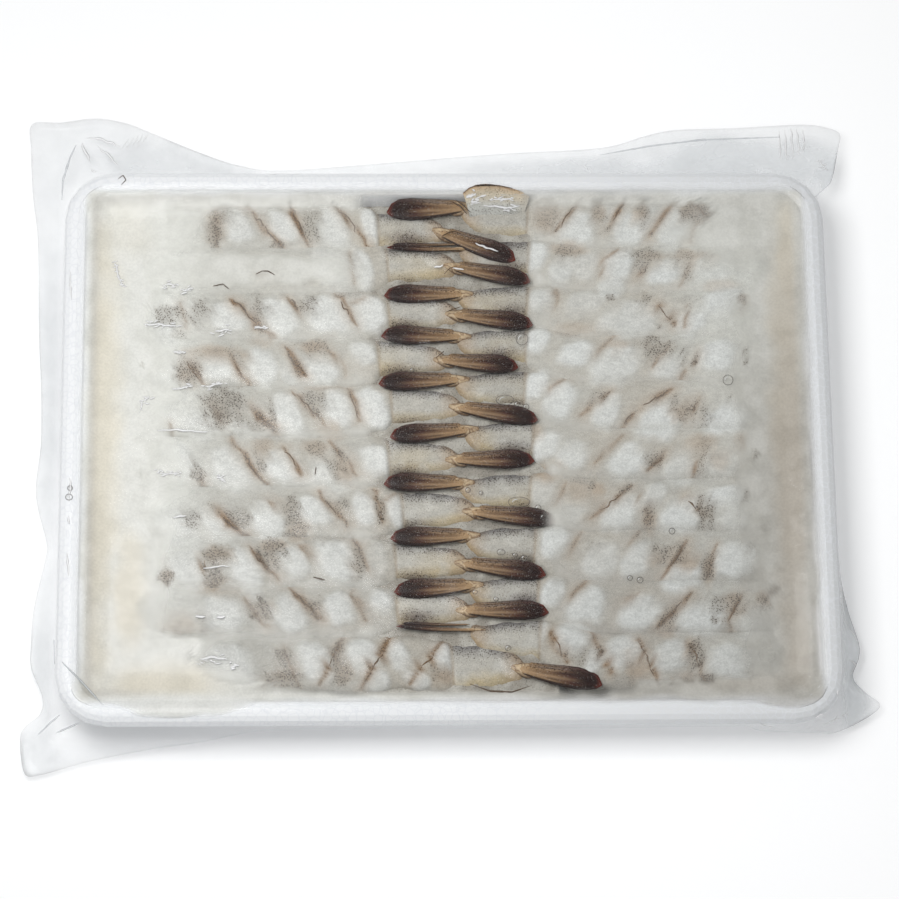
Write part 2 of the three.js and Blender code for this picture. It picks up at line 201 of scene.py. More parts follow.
PATCHES = {
    "left_01": [
        (214, 232, 8, 20, 0.8), (222, 215, 14, 10, 0.5), (277, 245, 8, 5, 0.6),
        (312, 228, 9, 16, 0.6), (172, 212, 5, 12, 0.3),
    ],
    "left_02": [(356, 266, 7, 15, 0.35)],
    "left_03": [
        (166, 314, 16, 10, 0.9), (200, 313, 10, 12, 0.8), (177, 338, 10, 8, 0.5),
        (260, 310, 11, 16, 0.7), (311, 306, 10, 11, 0.8), (355, 292, 25, 8, 0.4),
    ],
    "left_04": [
        (188, 372, 14, 14, 0.8), (215, 352, 30, 7, 0.35), (243, 357, 8, 8, 0.5),
        (313, 347, 14, 8, 0.6), (300, 372, 8, 8, 0.3), (142, 365, 3, 4, 0.8),
    ],
    "left_05": [
        (222, 405, 24, 22, 0.9), (273, 411, 5, 13, 0.9), (318, 404, 13, 12, 0.7),
        (262, 425, 14, 8, 0.5),
    ],
    "left_06": [
        (264, 465, 5, 8, 0.8), (262, 447, 12, 10, 0.4), (337, 465, 9, 15, 0.7),
        (314, 450, 10, 11, 0.6), (197, 472, 8, 9, 0.9), (140, 478, 3, 8, 0.5),
    ],
    "left_07": [
        (240, 517, 12, 9, 0.8), (192, 521, 10, 10, 0.8), (293, 515, 10, 16, 0.9),
        (296, 533, 12, 12, 0.7), (342, 505, 9, 8, 0.7), (381, 510, 5, 11, 0.8),
        (210, 508, 10, 6, 0.4),
    ],
    "left_08": [
        (270, 553, 14, 16, 0.9), (218, 556, 15, 9, 1), (213, 580, 11, 12, 1), (165, 577, 7, 8, 1),
        (357, 562, 9, 14, 0.7), (325, 537, 20, 8, 0.4),
    ],
    "left_09": [
        (262, 609, 11, 11, 1), (317, 607, 9, 9, 0.8), (181, 640, 14, 15, 0.6),
        (205, 625, 8, 14, 0.4),
    ],
    "left_10": [
        (181, 650, 12, 15, 0.9), (283, 680, 17, 12, 0.8), (283, 655, 9, 7, 0.9),
        (342, 677, 9, 13, 0.7), (336, 650, 8, 10, 0.5), (440, 672, 14, 12, 0.5),
        (461, 668, 5, 16, 0.7),
    ],
    "right_01": [
        (547, 215, 14, 18, 0.5), (600, 215, 9, 14, 0.6), (645, 212, 8, 20, 0.7),
        (695, 213, 17, 12, 0.9), (700, 222, 8, 8, 0.8), (607, 228, 6, 4, 0.6),
        (756, 194, 4, 3, 0.8),
    ],
    "right_02": [
        (566, 250, 12, 8, 0.7), (645, 256, 16, 8, 0.7), (690, 255, 25, 6, 0.5),
        (688, 270, 7, 14, 0.5),
    ],
    "right_03": [
        (610, 298, 5, 3, 0.9), (645, 300, 7, 7, 0.6), (741, 300, 7, 6, 0.7),
        (655, 283, 10, 6, 0.4), (690, 300, 15, 6, 0.35), (660, 327, 3, 3, 0.9),
    ],
    "right_04": [
        (575, 328, 20, 9, 0.5), (655, 350, 14, 12, 0.9), (682, 357, 18, 8, 0.9),
        (745, 358, 4, 8, 1), (655, 345, 30, 6, 0.4),
    ],
    "right_05": [
        (685, 410, 16, 12, 0.6), (706, 415, 7, 18, 0.6), (730, 400, 4, 4, 0.6),
        (700, 430, 12, 6, 0.5), (600, 395, 10, 5, 0.4),
    ],
    "right_06": [
        (655, 458, 10, 9, 0.7), (670, 451, 30, 4, 0.6), (705, 460, 10, 20, 0.5),
        (755, 454, 4, 5, 0.8), (742, 442, 4, 7, 0.4),
    ],
    "right_07": [
        (626, 488, 7, 5, 0.7), (649, 518, 7, 14, 0.7), (706, 512, 11, 15, 1),
        (592, 486, 4, 5, 0.7), (580, 480, 12, 6, 0.4), (746, 496, 4, 8, 0.9),
    ],
    "right_08": [
        (672, 554, 20, 10, 0.8), (707, 570, 8, 20, 0.8), (597, 546, 9, 7, 0.5),
        (750, 552, 4, 9, 0.6), (645, 535, 10, 15, 0.3),
    ],
    "right_09": [
        (670, 625, 12, 16, 0.5), (722, 606, 20, 10, 0.7), (762, 604, 10, 9, 0.9),
        (775, 590, 8, 7, 0.6), (735, 600, 9, 8, 0.6), (716, 621, 7, 4, 0.9),
        (560, 583, 8, 4, 0.4),
    ],
    "right_10": [
        (696, 655, 9, 16, 0.9), (632, 660, 9, 7, 0.6), (585, 655, 18, 10, 0.5),
        (685, 688, 18, 8, 0.7), (740, 692, 5, 4, 1), (630, 680, 15, 10, 0.35),
        (706, 682, 8, 10, 0.8),
    ],
}

# White lobes of flesh and tan, translucent places between them:
# (x, y, half width, half height, strength) in pixels
LOBES = [
    (238, 226, 14, 17, 0.8), (287, 226, 15, 15, 0.95), (334, 227, 15, 20, 0.85),
    (371, 225, 9, 18, 0.9), (330, 268, 18, 20, 0.55), (362, 268, 9, 19, 0.9),
    (230, 317, 18, 14, 0.85), (282, 317, 17, 19, 1), (331, 316, 22, 19, 0.95),
    (370, 314, 15, 16, 1), (160, 336, 16, 14, 0.6), (155, 372, 22, 17, 0.8),
    (220, 369, 19, 13, 0.9), (262, 367, 15, 18, 1), (318, 370, 19, 14, 0.95),
    (364, 352, 12, 12, 0.8), (290, 377, 10, 10, 0.6), (150, 410, 24, 18, 0.6),
    (289, 413, 14, 20, 1), (338, 409, 13, 19, 1), (372, 409, 15, 20, 1), (200, 426, 18, 14, 0.6),
    (240, 432, 11, 10, 0.5), (175, 462, 21, 20, 0.75), (231, 471, 19, 20, 0.85),
    (284, 466, 17, 17, 0.95), (329, 480, 20, 16, 0.7), (377, 461, 14, 14, 0.95),
    (175, 527, 21, 20, 0.8), (219, 522, 15, 16, 0.8), (270, 521, 15, 19, 0.95),
    (315, 512, 16, 14, 0.95), (364, 511, 11, 17, 0.9), (397, 511, 9, 15, 0.85),
    (188, 567, 16, 19, 0.7), (246, 568, 15, 18, 0.95), (295, 561, 14, 15, 0.9),
    (336, 561, 19, 19, 0.95), (378, 560, 10, 18, 0.3), (225, 614, 20, 18, 0.85),
    (290, 614, 15, 18, 0.9), (341, 609, 14, 15, 1), (380, 602, 11, 11, 0.9),
    (250, 588, 11, 11, 0.5), (230, 664, 25, 20, 0.8), (315, 662, 15, 20, 1),
    (363, 654, 14, 16, 1), (377, 680, 13, 11, 0.9), (398, 655, 10, 13, 0.9),
    (444, 656, 10, 15, 1), (418, 681, 12, 10, 0.8), (576, 228, 20, 18, 0.9),
    (612, 208, 13, 11, 0.7), (631, 228, 18, 17, 0.9), (660, 206, 12, 9, 0.6),
    (672, 228, 17, 18, 1), (718, 220, 22, 20, 0.6), (531, 256, 16, 15, 1),
    (562, 270, 14, 15, 0.7), (585, 266, 13, 16, 0.5), (618, 264, 15, 15, 0.9),
    (611, 288, 12, 10, 0.7), (663, 273, 15, 11, 0.95), (715, 265, 20, 18, 0.4),
    (542, 298, 12, 11, 0.7), (582, 305, 18, 13, 0.5), (630, 319, 26, 17, 0.65),
    (725, 300, 17, 15, 0.9), (690, 324, 13, 12, 0.85), (765, 310, 15, 15, 0.4),
    (537, 339, 14, 12, 1), (577, 353, 17, 12, 1), (616, 365, 24, 19, 0.75),
    (666, 370, 15, 10, 0.7), (717, 356, 18, 15, 0.95), (535, 385, 12, 13, 1),
    (560, 401, 14, 19, 1), (607, 411, 14, 15, 0.8), (660, 422, 20, 17, 0.95),
    (726, 421, 21, 14, 0.95), (545, 446, 15, 14, 0.8), (571, 457, 16, 15, 0.75),
    (626, 462, 19, 16, 0.9), (680, 470, 16, 14, 0.6), (722, 462, 15, 15, 0.5),
    (545, 490, 12, 14, 0.4), (572, 512, 15, 14, 0.4), (620, 512, 19, 17, 0.85),
    (655, 493, 10, 12, 0.6), (681, 515, 17, 16, 0.95), (725, 498, 17, 11, 0.95),
    (735, 520, 14, 12, 0.5), (554, 540, 13, 15, 0.95), (600, 560, 18, 18, 0.65),
    (636, 560, 14, 16, 0.75), (682, 578, 19, 15, 0.95), (735, 561, 20, 18, 0.95),
    (553, 591, 12, 13, 0.95), (588, 606, 19, 17, 0.95), (640, 612, 19, 17, 0.95),
    (700, 620, 25, 15, 0.95), (758, 625, 18, 16, 0.5), (536, 632, 12, 11, 0.8),
    (572, 637, 17, 13, 1), (593, 661, 9, 14, 0.8), (624, 652, 19, 15, 0.85),
    (672, 656, 17, 16, 0.8), (730, 662, 22, 16, 0.8), (735, 683, 16, 9, 0.8),
    (660, 683, 10, 8, 0.6),
]
TAN_PLACES = [
    (215, 352, 30, 8, 0.8), (313, 347, 14, 8, 0.9), (330, 431, 15, 12, 0.7),
    (262, 447, 12, 10, 0.7), (300, 531, 14, 12, 0.8), (270, 546, 16, 8, 0.8),
    (346, 470, 12, 16, 0.8), (356, 560, 9, 18, 0.5), (222, 590, 20, 9, 0.5),
    (262, 341, 16, 8, 0.5), (547, 215, 17, 20, 0.7), (530, 432, 15, 10, 0.6),
    (548, 472, 16, 12, 0.8), (580, 491, 14, 12, 0.6), (598, 490, 8, 8, 0.8),
    (690, 208, 17, 13, 0.9), (641, 213, 9, 17, 0.8), (600, 214, 9, 16, 0.7),
    (568, 249, 20, 8, 0.8), (690, 256, 26, 8, 0.7), (655, 257, 16, 6, 0.6),
    (720, 286, 22, 6, 0.5), (684, 409, 20, 14, 0.8), (700, 441, 16, 8, 0.7),
    (718, 460, 12, 12, 0.5), (649, 521, 8, 16, 0.8), (684, 560, 20, 14, 0.9),
    (708, 568, 7, 18, 0.9), (656, 558, 12, 10, 0.6), (664, 629, 13, 11, 0.8),
    (690, 650, 8, 14, 0.9), (638, 668, 13, 15, 0.8), (768, 598, 15, 9, 0.9),
    (782, 260, 12, 9, 0.9), (573, 330, 22, 8, 0.5), (632, 660, 12, 12, 0.6),
    (690, 680, 20, 12, 0.8), (445, 677, 16, 11, 0.7), (283, 679, 18, 12, 0.6),
    (345, 674, 11, 12, 0.7), (215, 556, 18, 10, 0.8), (214, 585, 14, 10, 0.8),
    (165, 577, 8, 9, 0.8), (180, 628, 24, 14, 0.5), (263, 612, 13, 12, 0.5),
    (243, 357, 9, 8, 0.7), (190, 372, 12, 16, 0.8), (318, 448, 16, 10, 0.6),
    (742, 441, 8, 8, 0.6), (745, 300, 8, 8, 0.6), (92, 545, 6, 7, 0.9), (735, 606, 12, 14, 0.9),
    (618, 345, 12, 5, 0.6), (130, 618, 10, 10, 0.5), (215, 225, 12, 22, 0.6),
]

# Outline of the bag's edge in the photograph as (x, y, height of the edge over the floor),
# anticlockwise as seen from above, from the back left corner
BAG_EDGE = [
    (32, 124, 3.5), (31, 150, 4), (33, 196, 4), (38, 243, 5), (39, 330, 6), (41, 388, 6),
    (41, 442, 6), (36, 495, 5), (46, 541, 7), (46, 556, 7), (34, 608, 5), (31, 645, 5),
    (31, 668, 5), (42, 697, 6), (40, 714, 5), (24, 728, 3), (20, 741, 3), (24, 773, 2.5),
    (39, 775.5, 2.5), (88, 762, 2.5), (150, 749.5, 4), (200, 742.5, 6), (258, 731.5, 9),
    (330, 729, 11), (500, 729, 12), (640, 728, 12), (738, 726, 12), (760, 731, 10), (815, 733, 5),
    (840, 731.5, 3.5), (880, 708, 3), (866, 693, 3), (853, 677, 5), (860, 650, 6), (848, 610, 8),
    (840, 570, 11), (833, 480, 12), (826, 360, 12), (820, 240, 12), (818, 197, 11), (831, 182, 9),
    (838, 150, 6), (840, 134, 5), (828, 128, 5), (802, 124.5, 5), (735, 128, 5), (676, 130, 6),
    (645, 136, 6), (600, 148, 7), (500, 154, 9), (400, 162, 10), (285, 170.5, 11), (240, 166, 10),
    (200, 153, 8), (150, 132.5, 6), (125, 123, 5), (95, 118.5, 4), (60, 122.5, 3.5),
]

# Lines on the film by pixels of the photograph: (width, points). Glints lie on its wrinkles,
# folds on its flaps and corners, and dark lines are hairs and the edges of shells. A glint that is
# BROAD_GLINT wide or wider is scattered into sparkles.
BROAD_GLINT = 3.5
GLINT_LINES = [
    (2.5, [(157, 431), (180, 430), (207, 432)]),
    (3.5, [(157, 472), (168, 474), (180, 474)]),
    (5, [(145, 325), (158, 323), (166, 326), (175, 325)]),
    (4, [(165, 285), (172, 284), (176, 287)]),
    (3.5, [(183, 290), (190, 289)]),
    (6, [(215, 331), (230, 330)]),
    (3.5, [(259, 328), (266, 326)]),
    (4, [(176, 352), (184, 351)]),
    (4, [(141, 410), (143, 401), (150, 396)]),
    (3.5, [(175, 389), (190, 386)]),
    (5, [(205, 387), (214, 385), (223, 383)]),
    (3.5, [(216, 478), (224, 478)]),
    (3, [(172, 517), (186, 515)]),
    (2, [(203, 568), (230, 566)]),
    (3, [(216, 617), (225, 616)]),
    (5, [(200, 660), (214, 657), (228, 660)]),
    (4, [(230, 668), (238, 666)]),
    (3, [(195, 617), (205, 617)]),
    (4, [(115, 262), (117, 272), (122, 286)]),
    (3, [(86, 137), (97, 138), (110, 142), (120, 147)]),
    (3, [(82, 143), (86, 153), (91, 163)]),
    (3, [(97, 146), (107, 154), (118, 165)]),
    (2.5, [(91, 169), (97, 172)]),
    (1.5, [(121, 149), (128, 139)]),
    (1.5, [(126, 149), (133, 138)]),
    (1.5, [(131, 149), (138, 136)]),
    (1.5, [(136, 148), (143, 135)]),
    (1.5, [(141, 146), (147, 135)]),
    (1.6, [(267, 174), (290, 173.5), (320, 174)]),
    (2, [(779, 131), (781, 160)]),
    (2, [(785, 130), (787, 160)]),
    (2, [(791, 129), (793, 158)]),
    (2, [(797, 129), (799, 155)]),
    (2, [(803, 130), (804, 152)]),
    (3.5, [(819, 162), (825, 168)]),
    (3, [(815, 718), (830, 712), (848, 708)]),
    (1.8, [(843, 590), (843, 610), (848, 626), (857, 641)]),
    (1.2, [(841, 600), (842, 615), (848, 632)]),
    (2.4, [(865, 695), (859, 708), (852, 722)]),
    (1.5, [(838.5, 690), (838.5, 712)]),
    (2, [(850, 660), (856, 665), (851, 674)]),
    (2, [(842, 716), (847, 712)]),
    (2, [(834, 722), (838, 716)]),
    (2, [(822, 724), (840, 719)]),
    (2.5, [(69, 478), (71, 488), (69, 500)]),
    (2, [(68, 516), (70, 524)]),
    (2, [(67, 553), (69, 576)]),
    (1.8, [(70, 270), (71, 300)]),
    (2, [(760, 724), (776, 728)]),
    (5, [(466, 197), (476, 194)]),
    (4, [(471, 203), (478, 200)]),
    (3, [(480, 197), (486, 195)]),
    (4, [(504, 209), (516, 207)]),
    (5, [(494, 200), (512, 199)]),
    (3, [(484, 206), (500, 207), (516, 210)]),
    (2.6, [(475, 243), (486, 248), (498, 251)]),
    (2.6, [(453, 268), (464, 270)]),
    (2.6, [(434, 268), (443, 265)]),
]
FOLD_LINES = [
    (2.5, [(62, 200), (63, 180), (70, 158), (76, 145)]),
    (2, [(54, 640), (55, 670), (53, 700)]),
    (2, [(62, 662), (80, 680), (103, 705)]),
    (2, [(38, 735), (50, 723), (60, 715)]),
    (2, [(56, 733), (70, 727), (85, 720)]),
    (2, [(240, 723), (247, 731)]),
    (2, [(600, 155), (650, 146), (700, 140), (780, 137)]),
]
DARK_LINES = [
    (1.1, [(256, 274), (262, 271), (268, 271), (275, 275)]),
    (1.2, [(213, 286), (223, 284), (229, 289)]),
    (1.4, [(313, 577), (325, 580)]),
    (1.2, [(316, 467), (315, 475)]),
    (1, [(118, 179), (123, 175), (126, 180), (121, 185)]),
    (1.6, [(451, 201), (460, 206), (467, 214)]),
    (1.2, [(456, 200), (463, 205), (470, 212)]),
    (1.3, [(442, 236), (450, 232), (457, 231)]),
    (1.1, [(444, 274), (450, 268), (458, 266)]),
    (1.2, [(446, 312), (454, 309), (460, 307)]),
    (1.2, [(436, 358), (444, 351)]),
    (1, [(463, 193), (469, 188), (476, 185.3), (486, 184.2), (501, 185.8), (513, 188.4)]),
    (1.6, [(470, 684), (490, 691), (512, 692), (530, 686)]),
]

# Round bubbles just under the film: (x, y, half width, half height)
BUBBLES = [
    (505, 400, 9, 5), (517, 404, 2.5, 2.5), (526, 407, 3, 3), (519, 502, 11, 5), (538, 508, 3, 3),
    (543, 517, 2.5, 2.5), (501, 552, 4, 3), (524, 558, 3, 3), (515, 555, 2.5, 2),
    (728, 380, 5, 5), (672, 531, 3, 3), (640, 580, 3, 3), (630, 578, 2.5, 2.5),
    (508, 648, 3, 2.5), (522, 339, 6, 6), (412, 370, 2, 2), (468, 490, 2.5, 2.5),
    (481, 493, 2, 2), (475, 592, 2.5, 2), (496, 599, 2.5, 2), (69, 497, 3.5, 3),
    (70, 488, 2.5, 2.5),
]

# Half length and half width of the tray's rim, and its section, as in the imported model
HALF_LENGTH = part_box("tray")[1].x / MM
HALF_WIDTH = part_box("tray")[1].y / MM
TRAY_CORNER_RADIUS = 16
SMALLEST_CORNER_RADIUS = 5
RIM_WIDTH = 7.6
RIM_TOP_INSET = 4.2
RIM_SHOULDER_HEIGHT = 18.2
LIP_HEIGHT = 14.2
CROWN_HEIGHT = 3.2
WALL_LEAN = math.tan(math.radians(12))
FLOOR_HEIGHT = 3

# Depth of ice that hides about two thirds of what lies under it, and its height at the rim
ICE_HIDING_DEPTH = 3
ICE_EDGE_HEIGHT = 19


def srgb(red, green, blue):
    """A colour as it reads in the photograph, from 0 to 255, as linear values."""
    values = np.array([red, green, blue]) / 255
    low = values / 12.92
    high = ((values + 0.055) / 1.055) ** 2.4
    return np.where(values <= 0.04045, low, high)


def rgba(red, green, blue):
    return (*srgb(red, green, blue), 1)


def smoothstep(low, high, value):
    share = np.clip((value - low) / (high - low), 0, 1)
    return share * share * (3 - 2 * share)


def soft_noise(x, y, size, seed):
    """Smooth random values from -1 to 1 that change over the given size."""
    cells = 97
    lattice = np.random.default_rng(seed).uniform(-1, 1, (cells, cells))
    u = (0.8 * np.asarray(x) - 0.6 * np.asarray(y)) / size + cells / 2
    v = (0.6 * np.asarray(x) + 0.8 * np.asarray(y)) / size + cells / 2
    i, j = np.floor(u).astype(int), np.floor(v).astype(int)
    a, b = smoothstep(0, 1, u - i), smoothstep(0, 1, v - j)
    i, j, i1, j1 = i % cells, j % cells, (i + 1) % cells, (j + 1) % cells
    lower = lattice[i, j] * (1 - a) + lattice[i1, j] * a
    upper = lattice[i, j1] * (1 - a) + lattice[i1, j1] * a
    return lower * (1 - b) + upper * b


def camera_axes():
    """Unit vectors to the right, up and back from the camera."""
    swing, rise = CAMERA_SWING, CAMERA_ELEVATION
    back = np.array([
        -math.sin(swing) * math.cos(rise),
        -math.cos(swing) * math.cos(rise),
        math.sin(rise),
    ])
    level = np.array([math.cos(swing), -math.sin(swing), 0])
    lift = np.cross(back, level)
    right = level * math.cos(CAMERA_ROLL) + lift * math.sin(CAMERA_ROLL)
    up = lift * math.cos(CAMERA_ROLL) - level * math.sin(CAMERA_ROLL)
    return right, up, back


def at_pixel(px, py, height):
    """x and y of the point at the given height that the photograph shows at a pixel."""
    right, up, back = camera_axes()
    place = CAMERA_TARGET + back * CAMERA_DISTANCE
    across = (np.asarray(px, float) - IMAGE_SIZE / 2) / FOCAL_LENGTH_PIXELS
    down = (np.asarray(py, float) - IMAGE_SIZE / 2) / FOCAL_LENGTH_PIXELS
    ray = [right[k] * across - up[k] * down - back[k] for k in range(3)]
    reach = (np.asarray(height, float) - place[2]) / ray[2]
    return place[0] + reach * ray[0], place[1] + reach * ray[1]


def make_camera():
    right, up, back = camera_axes()
    camera = bpy.data.objects.new("camera", bpy.data.cameras.new("camera"))
    bpy.context.scene.collection.objects.link(camera)
    turn = Matrix([right, up, back]).transposed().to_4x4()
    place = (CAMERA_TARGET + back * CAMERA_DISTANCE) * MM
    camera.matrix_world = Matrix.Translation(Vector(place)) @ turn
    camera.data.sensor_width = SENSOR_WIDTH
    camera.data.lens = FOCAL_LENGTH_PIXELS / IMAGE_SIZE * SENSOR_WIDTH
    camera.data.clip_start = 0.01
    camera.data.clip_end = 20
    bpy.context.scene.camera = camera


def add_area_light(name, place, target, width, height, power):
    data = bpy.data.lights.new(name, "AREA")
    data.shape = "RECTANGLE"
    data.size, data.size_y = width * MM, height * MM
    data.energy = power
    light = bpy.data.objects.new(name, data)
    bpy.context.scene.collection.objects.link(light)
    light.location = Vector(place) * MM
    light.rotation_euler = (Vector(target) - Vector(place)).to_track_quat("-Z", "Y").to_euler()


KEY_PLACE = (-165, 5, 510)
KEY_SIZE = 260
KEY_POWER = 1.68
WORLD_COLOUR = (0.98, 0.985, 0.99, 1)
WORLD_STRENGTH = 0.53


def make_light():
    """One large, soft light from the back left, in an evenly pale room."""
    world = bpy.data.worlds.new("studio")
    world.use_nodes = True
    background = world.node_tree.nodes["Background"]
    background.inputs["Color"].default_value = WORLD_COLOUR
    background.inputs["Strength"].default_value = WORLD_STRENGTH
    bpy.context.scene.world = world
    add_area_light("key", KEY_PLACE, (0, 0, 0), KEY_SIZE, KEY_SIZE, KEY_POWER)
    bpy.context.scene.view_settings.view_transform = "Standard"


class Shader:
    """A Principled material with short calls for the nodes that its looks are made of."""

    def __init__(self, name):
        self.material = bpy.data.materials.new(name)
        self.material.use_nodes = True
        self.tree = self.material.node_tree
        self.surface = self.tree.nodes["Principled BSDF"]
        coordinates = self.tree.nodes.new("ShaderNodeTexCoord")
        self.place = coordinates.outputs["Object"]

    def put(self, socket, value):
        if isinstance(value, bpy.types.NodeSocket):
            self.tree.links.new(value, socket)
        else:
            socket.default_value = value

    def add(self, kind, inputs, **settings):
        node = self.tree.nodes.new(kind)
        for name, value in settings.items():
            setattr(node, name, value)
        for name, value in inputs.items():
            self.put(node.inputs[name], value)
        return node

    def set(self, **inputs):
        for name, value in inputs.items():
            self.put(self.surface.inputs[name.replace("_", " ")], value)

    def math(self, operation, first, second=0.0, clamp=False):
        node = self.add("ShaderNodeMath", {0: first, 1: second}, operation=operation)
        node.use_clamp = clamp
        return node.outputs[0]

    def times(self, first, second):
        return self.math("MULTIPLY", first, second)

    def grey(self, value):
        inputs = {"Red": value, "Green": value, "Blue": value}
        return self.add("ShaderNodeCombineColor", inputs).outputs[0]

    def across(self):
        """How far to the right a point lies."""
        return self.add("ShaderNodeSeparateXYZ", {"Vector": self.place}).outputs["X"]

    def ramp(self, value, low, high, to_low=0.0, to_high=1.0):
        inputs = {
            "Value": value, "From Min": low, "From Max": high, "To Min": to_low, "To Max": to_high,
        }
        node = self.add("ShaderNodeMapRange", inputs, interpolation_type="SMOOTHSTEP")
        return node.outputs["Result"]

    def noise(self, size, detail=2.0, stretch=(1, 1, 1)):
        """Noise whose features have the given size, longer where stretch is over 1."""
        scale = tuple(1 / (size * MM * factor) for factor in stretch)
        mapping = self.add("ShaderNodeMapping", {"Vector": self.place, "Scale": scale})
        inputs = {"Vector": mapping.outputs[0], "Scale": 1.0, "Detail": detail}
        return self.add("ShaderNodeTexNoise", inputs).outputs["Fac"]

    def grains(self, size):
        """Distance to the nearest of many scattered points, as a share of the size."""
        inputs = {"Vector": self.place, "Scale": 1 / (size * MM)}
        return self.add("ShaderNodeTexVoronoi", inputs, feature="F1").outputs["Distance"]

    def mix(self, factor, first, second, blend="MIX"):
        node = self.tree.nodes.new("ShaderNodeMix")
        node.data_type = "RGBA"
        node.blend_type = blend
        self.put(node.inputs["Factor"], factor)
        self.put(node.inputs[6], first)
        self.put(node.inputs[7], second)
        return node.outputs[2]

    def attribute(self, name, output="Fac"):
        node = self.add("ShaderNodeAttribute", {}, attribute_name=name)
        return node.outputs[output]

    def bump(self, height, strength, distance):
        inputs = {"Height": height, "Strength": strength, "Distance": distance * MM}
        self.set(Normal=self.add("ShaderNodeBump", inputs).outputs[0])


def foam_material():
    """White foam of fine beads, with painted shade in the creases between them and painted shade
    greying it to the right, where the light falls off.
    """
    shader = Shader("expanded_foam")
    bead = 2.2
    inputs = {"Vector": shader.place, "Scale": 1 / (bead * MM)}
    cells = shader.add("ShaderNodeTexVoronoi", inputs, feature="DISTANCE_TO_EDGE")
    crease = shader.ramp(cells.outputs["Distance"], 0.0, 0.1)
    mottle = shader.noise(14, 3)
    white = shader.mix(mottle, rgba(229, 231, 233), rgba(236, 237, 238))
    # Painted shade: the foam greys to the right, where the light falls off
    away = shader.ramp(shader.across(), -20 * MM, 125 * MM, 0.0, 0.62)
    white = shader.mix(away, white, rgba(206, 208, 209))
    # Painted shade: the creases between the beads are a little darker
    shaded = shader.mix(crease, rgba(224, 226, 229), white)
    shader.set(Base_Color=shaded, Roughness=shader.ramp(crease, 0, 1, 0.75, 0.55))
    height = shader.math("ADD", crease, shader.times(shader.noise(0.8), 0.3))
    shader.bump(height, 0.2, 0.05)
    return shader.material


def shrimp_material():
    """Flesh and shell: painted, with fine fibres, dark specks and a little frost on the shell."""
    speck_size, speck_reach, frost_size = 0.58, 0.41, 0.8
    shader = Shader("raw_shrimp")
    paint = shader.attribute("paint", "Color")
    specks = shader.attribute("specks")
    gloss = shader.attribute("gloss")
    grain = shader.noise(0.5, 3)
    fibre = shader.noise(1.4, 4, (1.8, 1, 1))
    cloud = shader.noise(5, 3)
    tone = shader.ramp(fibre, 0.25, 0.75, 0.9, 1.06)
    tone = shader.times(tone, shader.ramp(cloud, 0.25, 0.75, 0.95, 1.03))
    tone = shader.times(tone, shader.ramp(grain, 0.3, 0.7, 0.86, 1.08))
    flesh = shader.mix(1.0, paint, shader.grey(tone), "MULTIPLY")
    reach = shader.ramp(specks, 0, 1, 0.0, speck_reach)
    dot = shader.math("SUBTRACT", reach, shader.grains(speck_size))
    dot = shader.ramp(dot, -0.04, 0.09)
    dark = shader.mix(1.0, flesh, rgba(108, 92, 78), "MULTIPLY")
    dotted = shader.mix(shader.times(dot, 0.85), flesh, dark)
    frost = shader.ramp(shader.grains(frost_size), 0.12, 0.2, 1.0, 0.0)
    frost = shader.times(frost, shader.times(gloss, 0.45))
    frosted = shader.mix(frost, dotted, rgba(222, 220, 214))
    shader.set(Base_Color=frosted, Roughness=shader.ramp(gloss, 0, 1, 0.5, 0.32))
    shader.surface.inputs["Specular IOR Level"].default_value = 0.12
    shader.bump(shader.noise(0.9, 3, (2, 1, 1)), 0.25, 0.15)
    return shader.material


def ice_material():
    """Mottled ice: how cloudy, yellowish or pale it is, and its painted shade, come from the mesh.
    """
    shader = Shader("cloudy_ice")
    tint = shader.attribute("tint")
    cloud = shader.attribute("cloud")
    mottle = shader.noise(7, 4)
    painted_shade = shader.attribute("painted_shade")
    # Painted shade: lit and shaded copies of the ice, its cream tint and its colour by the rim,
    # mixed by the shade the mesh carries
    lighter = shader.mix(shader.ramp(mottle, 0.3, 0.7), rgba(212, 212, 205), rgba(221, 221, 215))
    darker = shader.mix(shader.ramp(mottle, 0.3, 0.7), rgba(166, 163, 155), rgba(182, 180, 173))
    white = shader.mix(painted_shade, lighter, darker)
    cream = shader.mix(painted_shade, rgba(220, 209, 182), rgba(162, 149, 131))
    colour = shader.mix(shader.times(tint, 0.55), white, cream)
    by_rim = shader.mix(painted_shade, rgba(226, 228, 228), rgba(198, 198, 197))
    colour = shader.mix(shader.attribute("pale"), colour, by_rim)
    grain = shader.ramp(shader.noise(0.7, 3), 0.3, 0.7, 0.94, 1.04)
    colour = shader.mix(1.0, colour, shader.grey(grain), "MULTIPLY")
    amount = shader.ramp(mottle, 0.3, 0.7, 0.93, 1.07)
    alpha = shader.math("MULTIPLY", cloud, amount, clamp=True)
    shader.set(Base_Color=colour, Alpha=alpha)
    shader.surface.inputs["Roughness"].default_value = 0.55
    shader.bump(shader.noise(2.2, 3), 0.25, 0.2)
    return shader.material


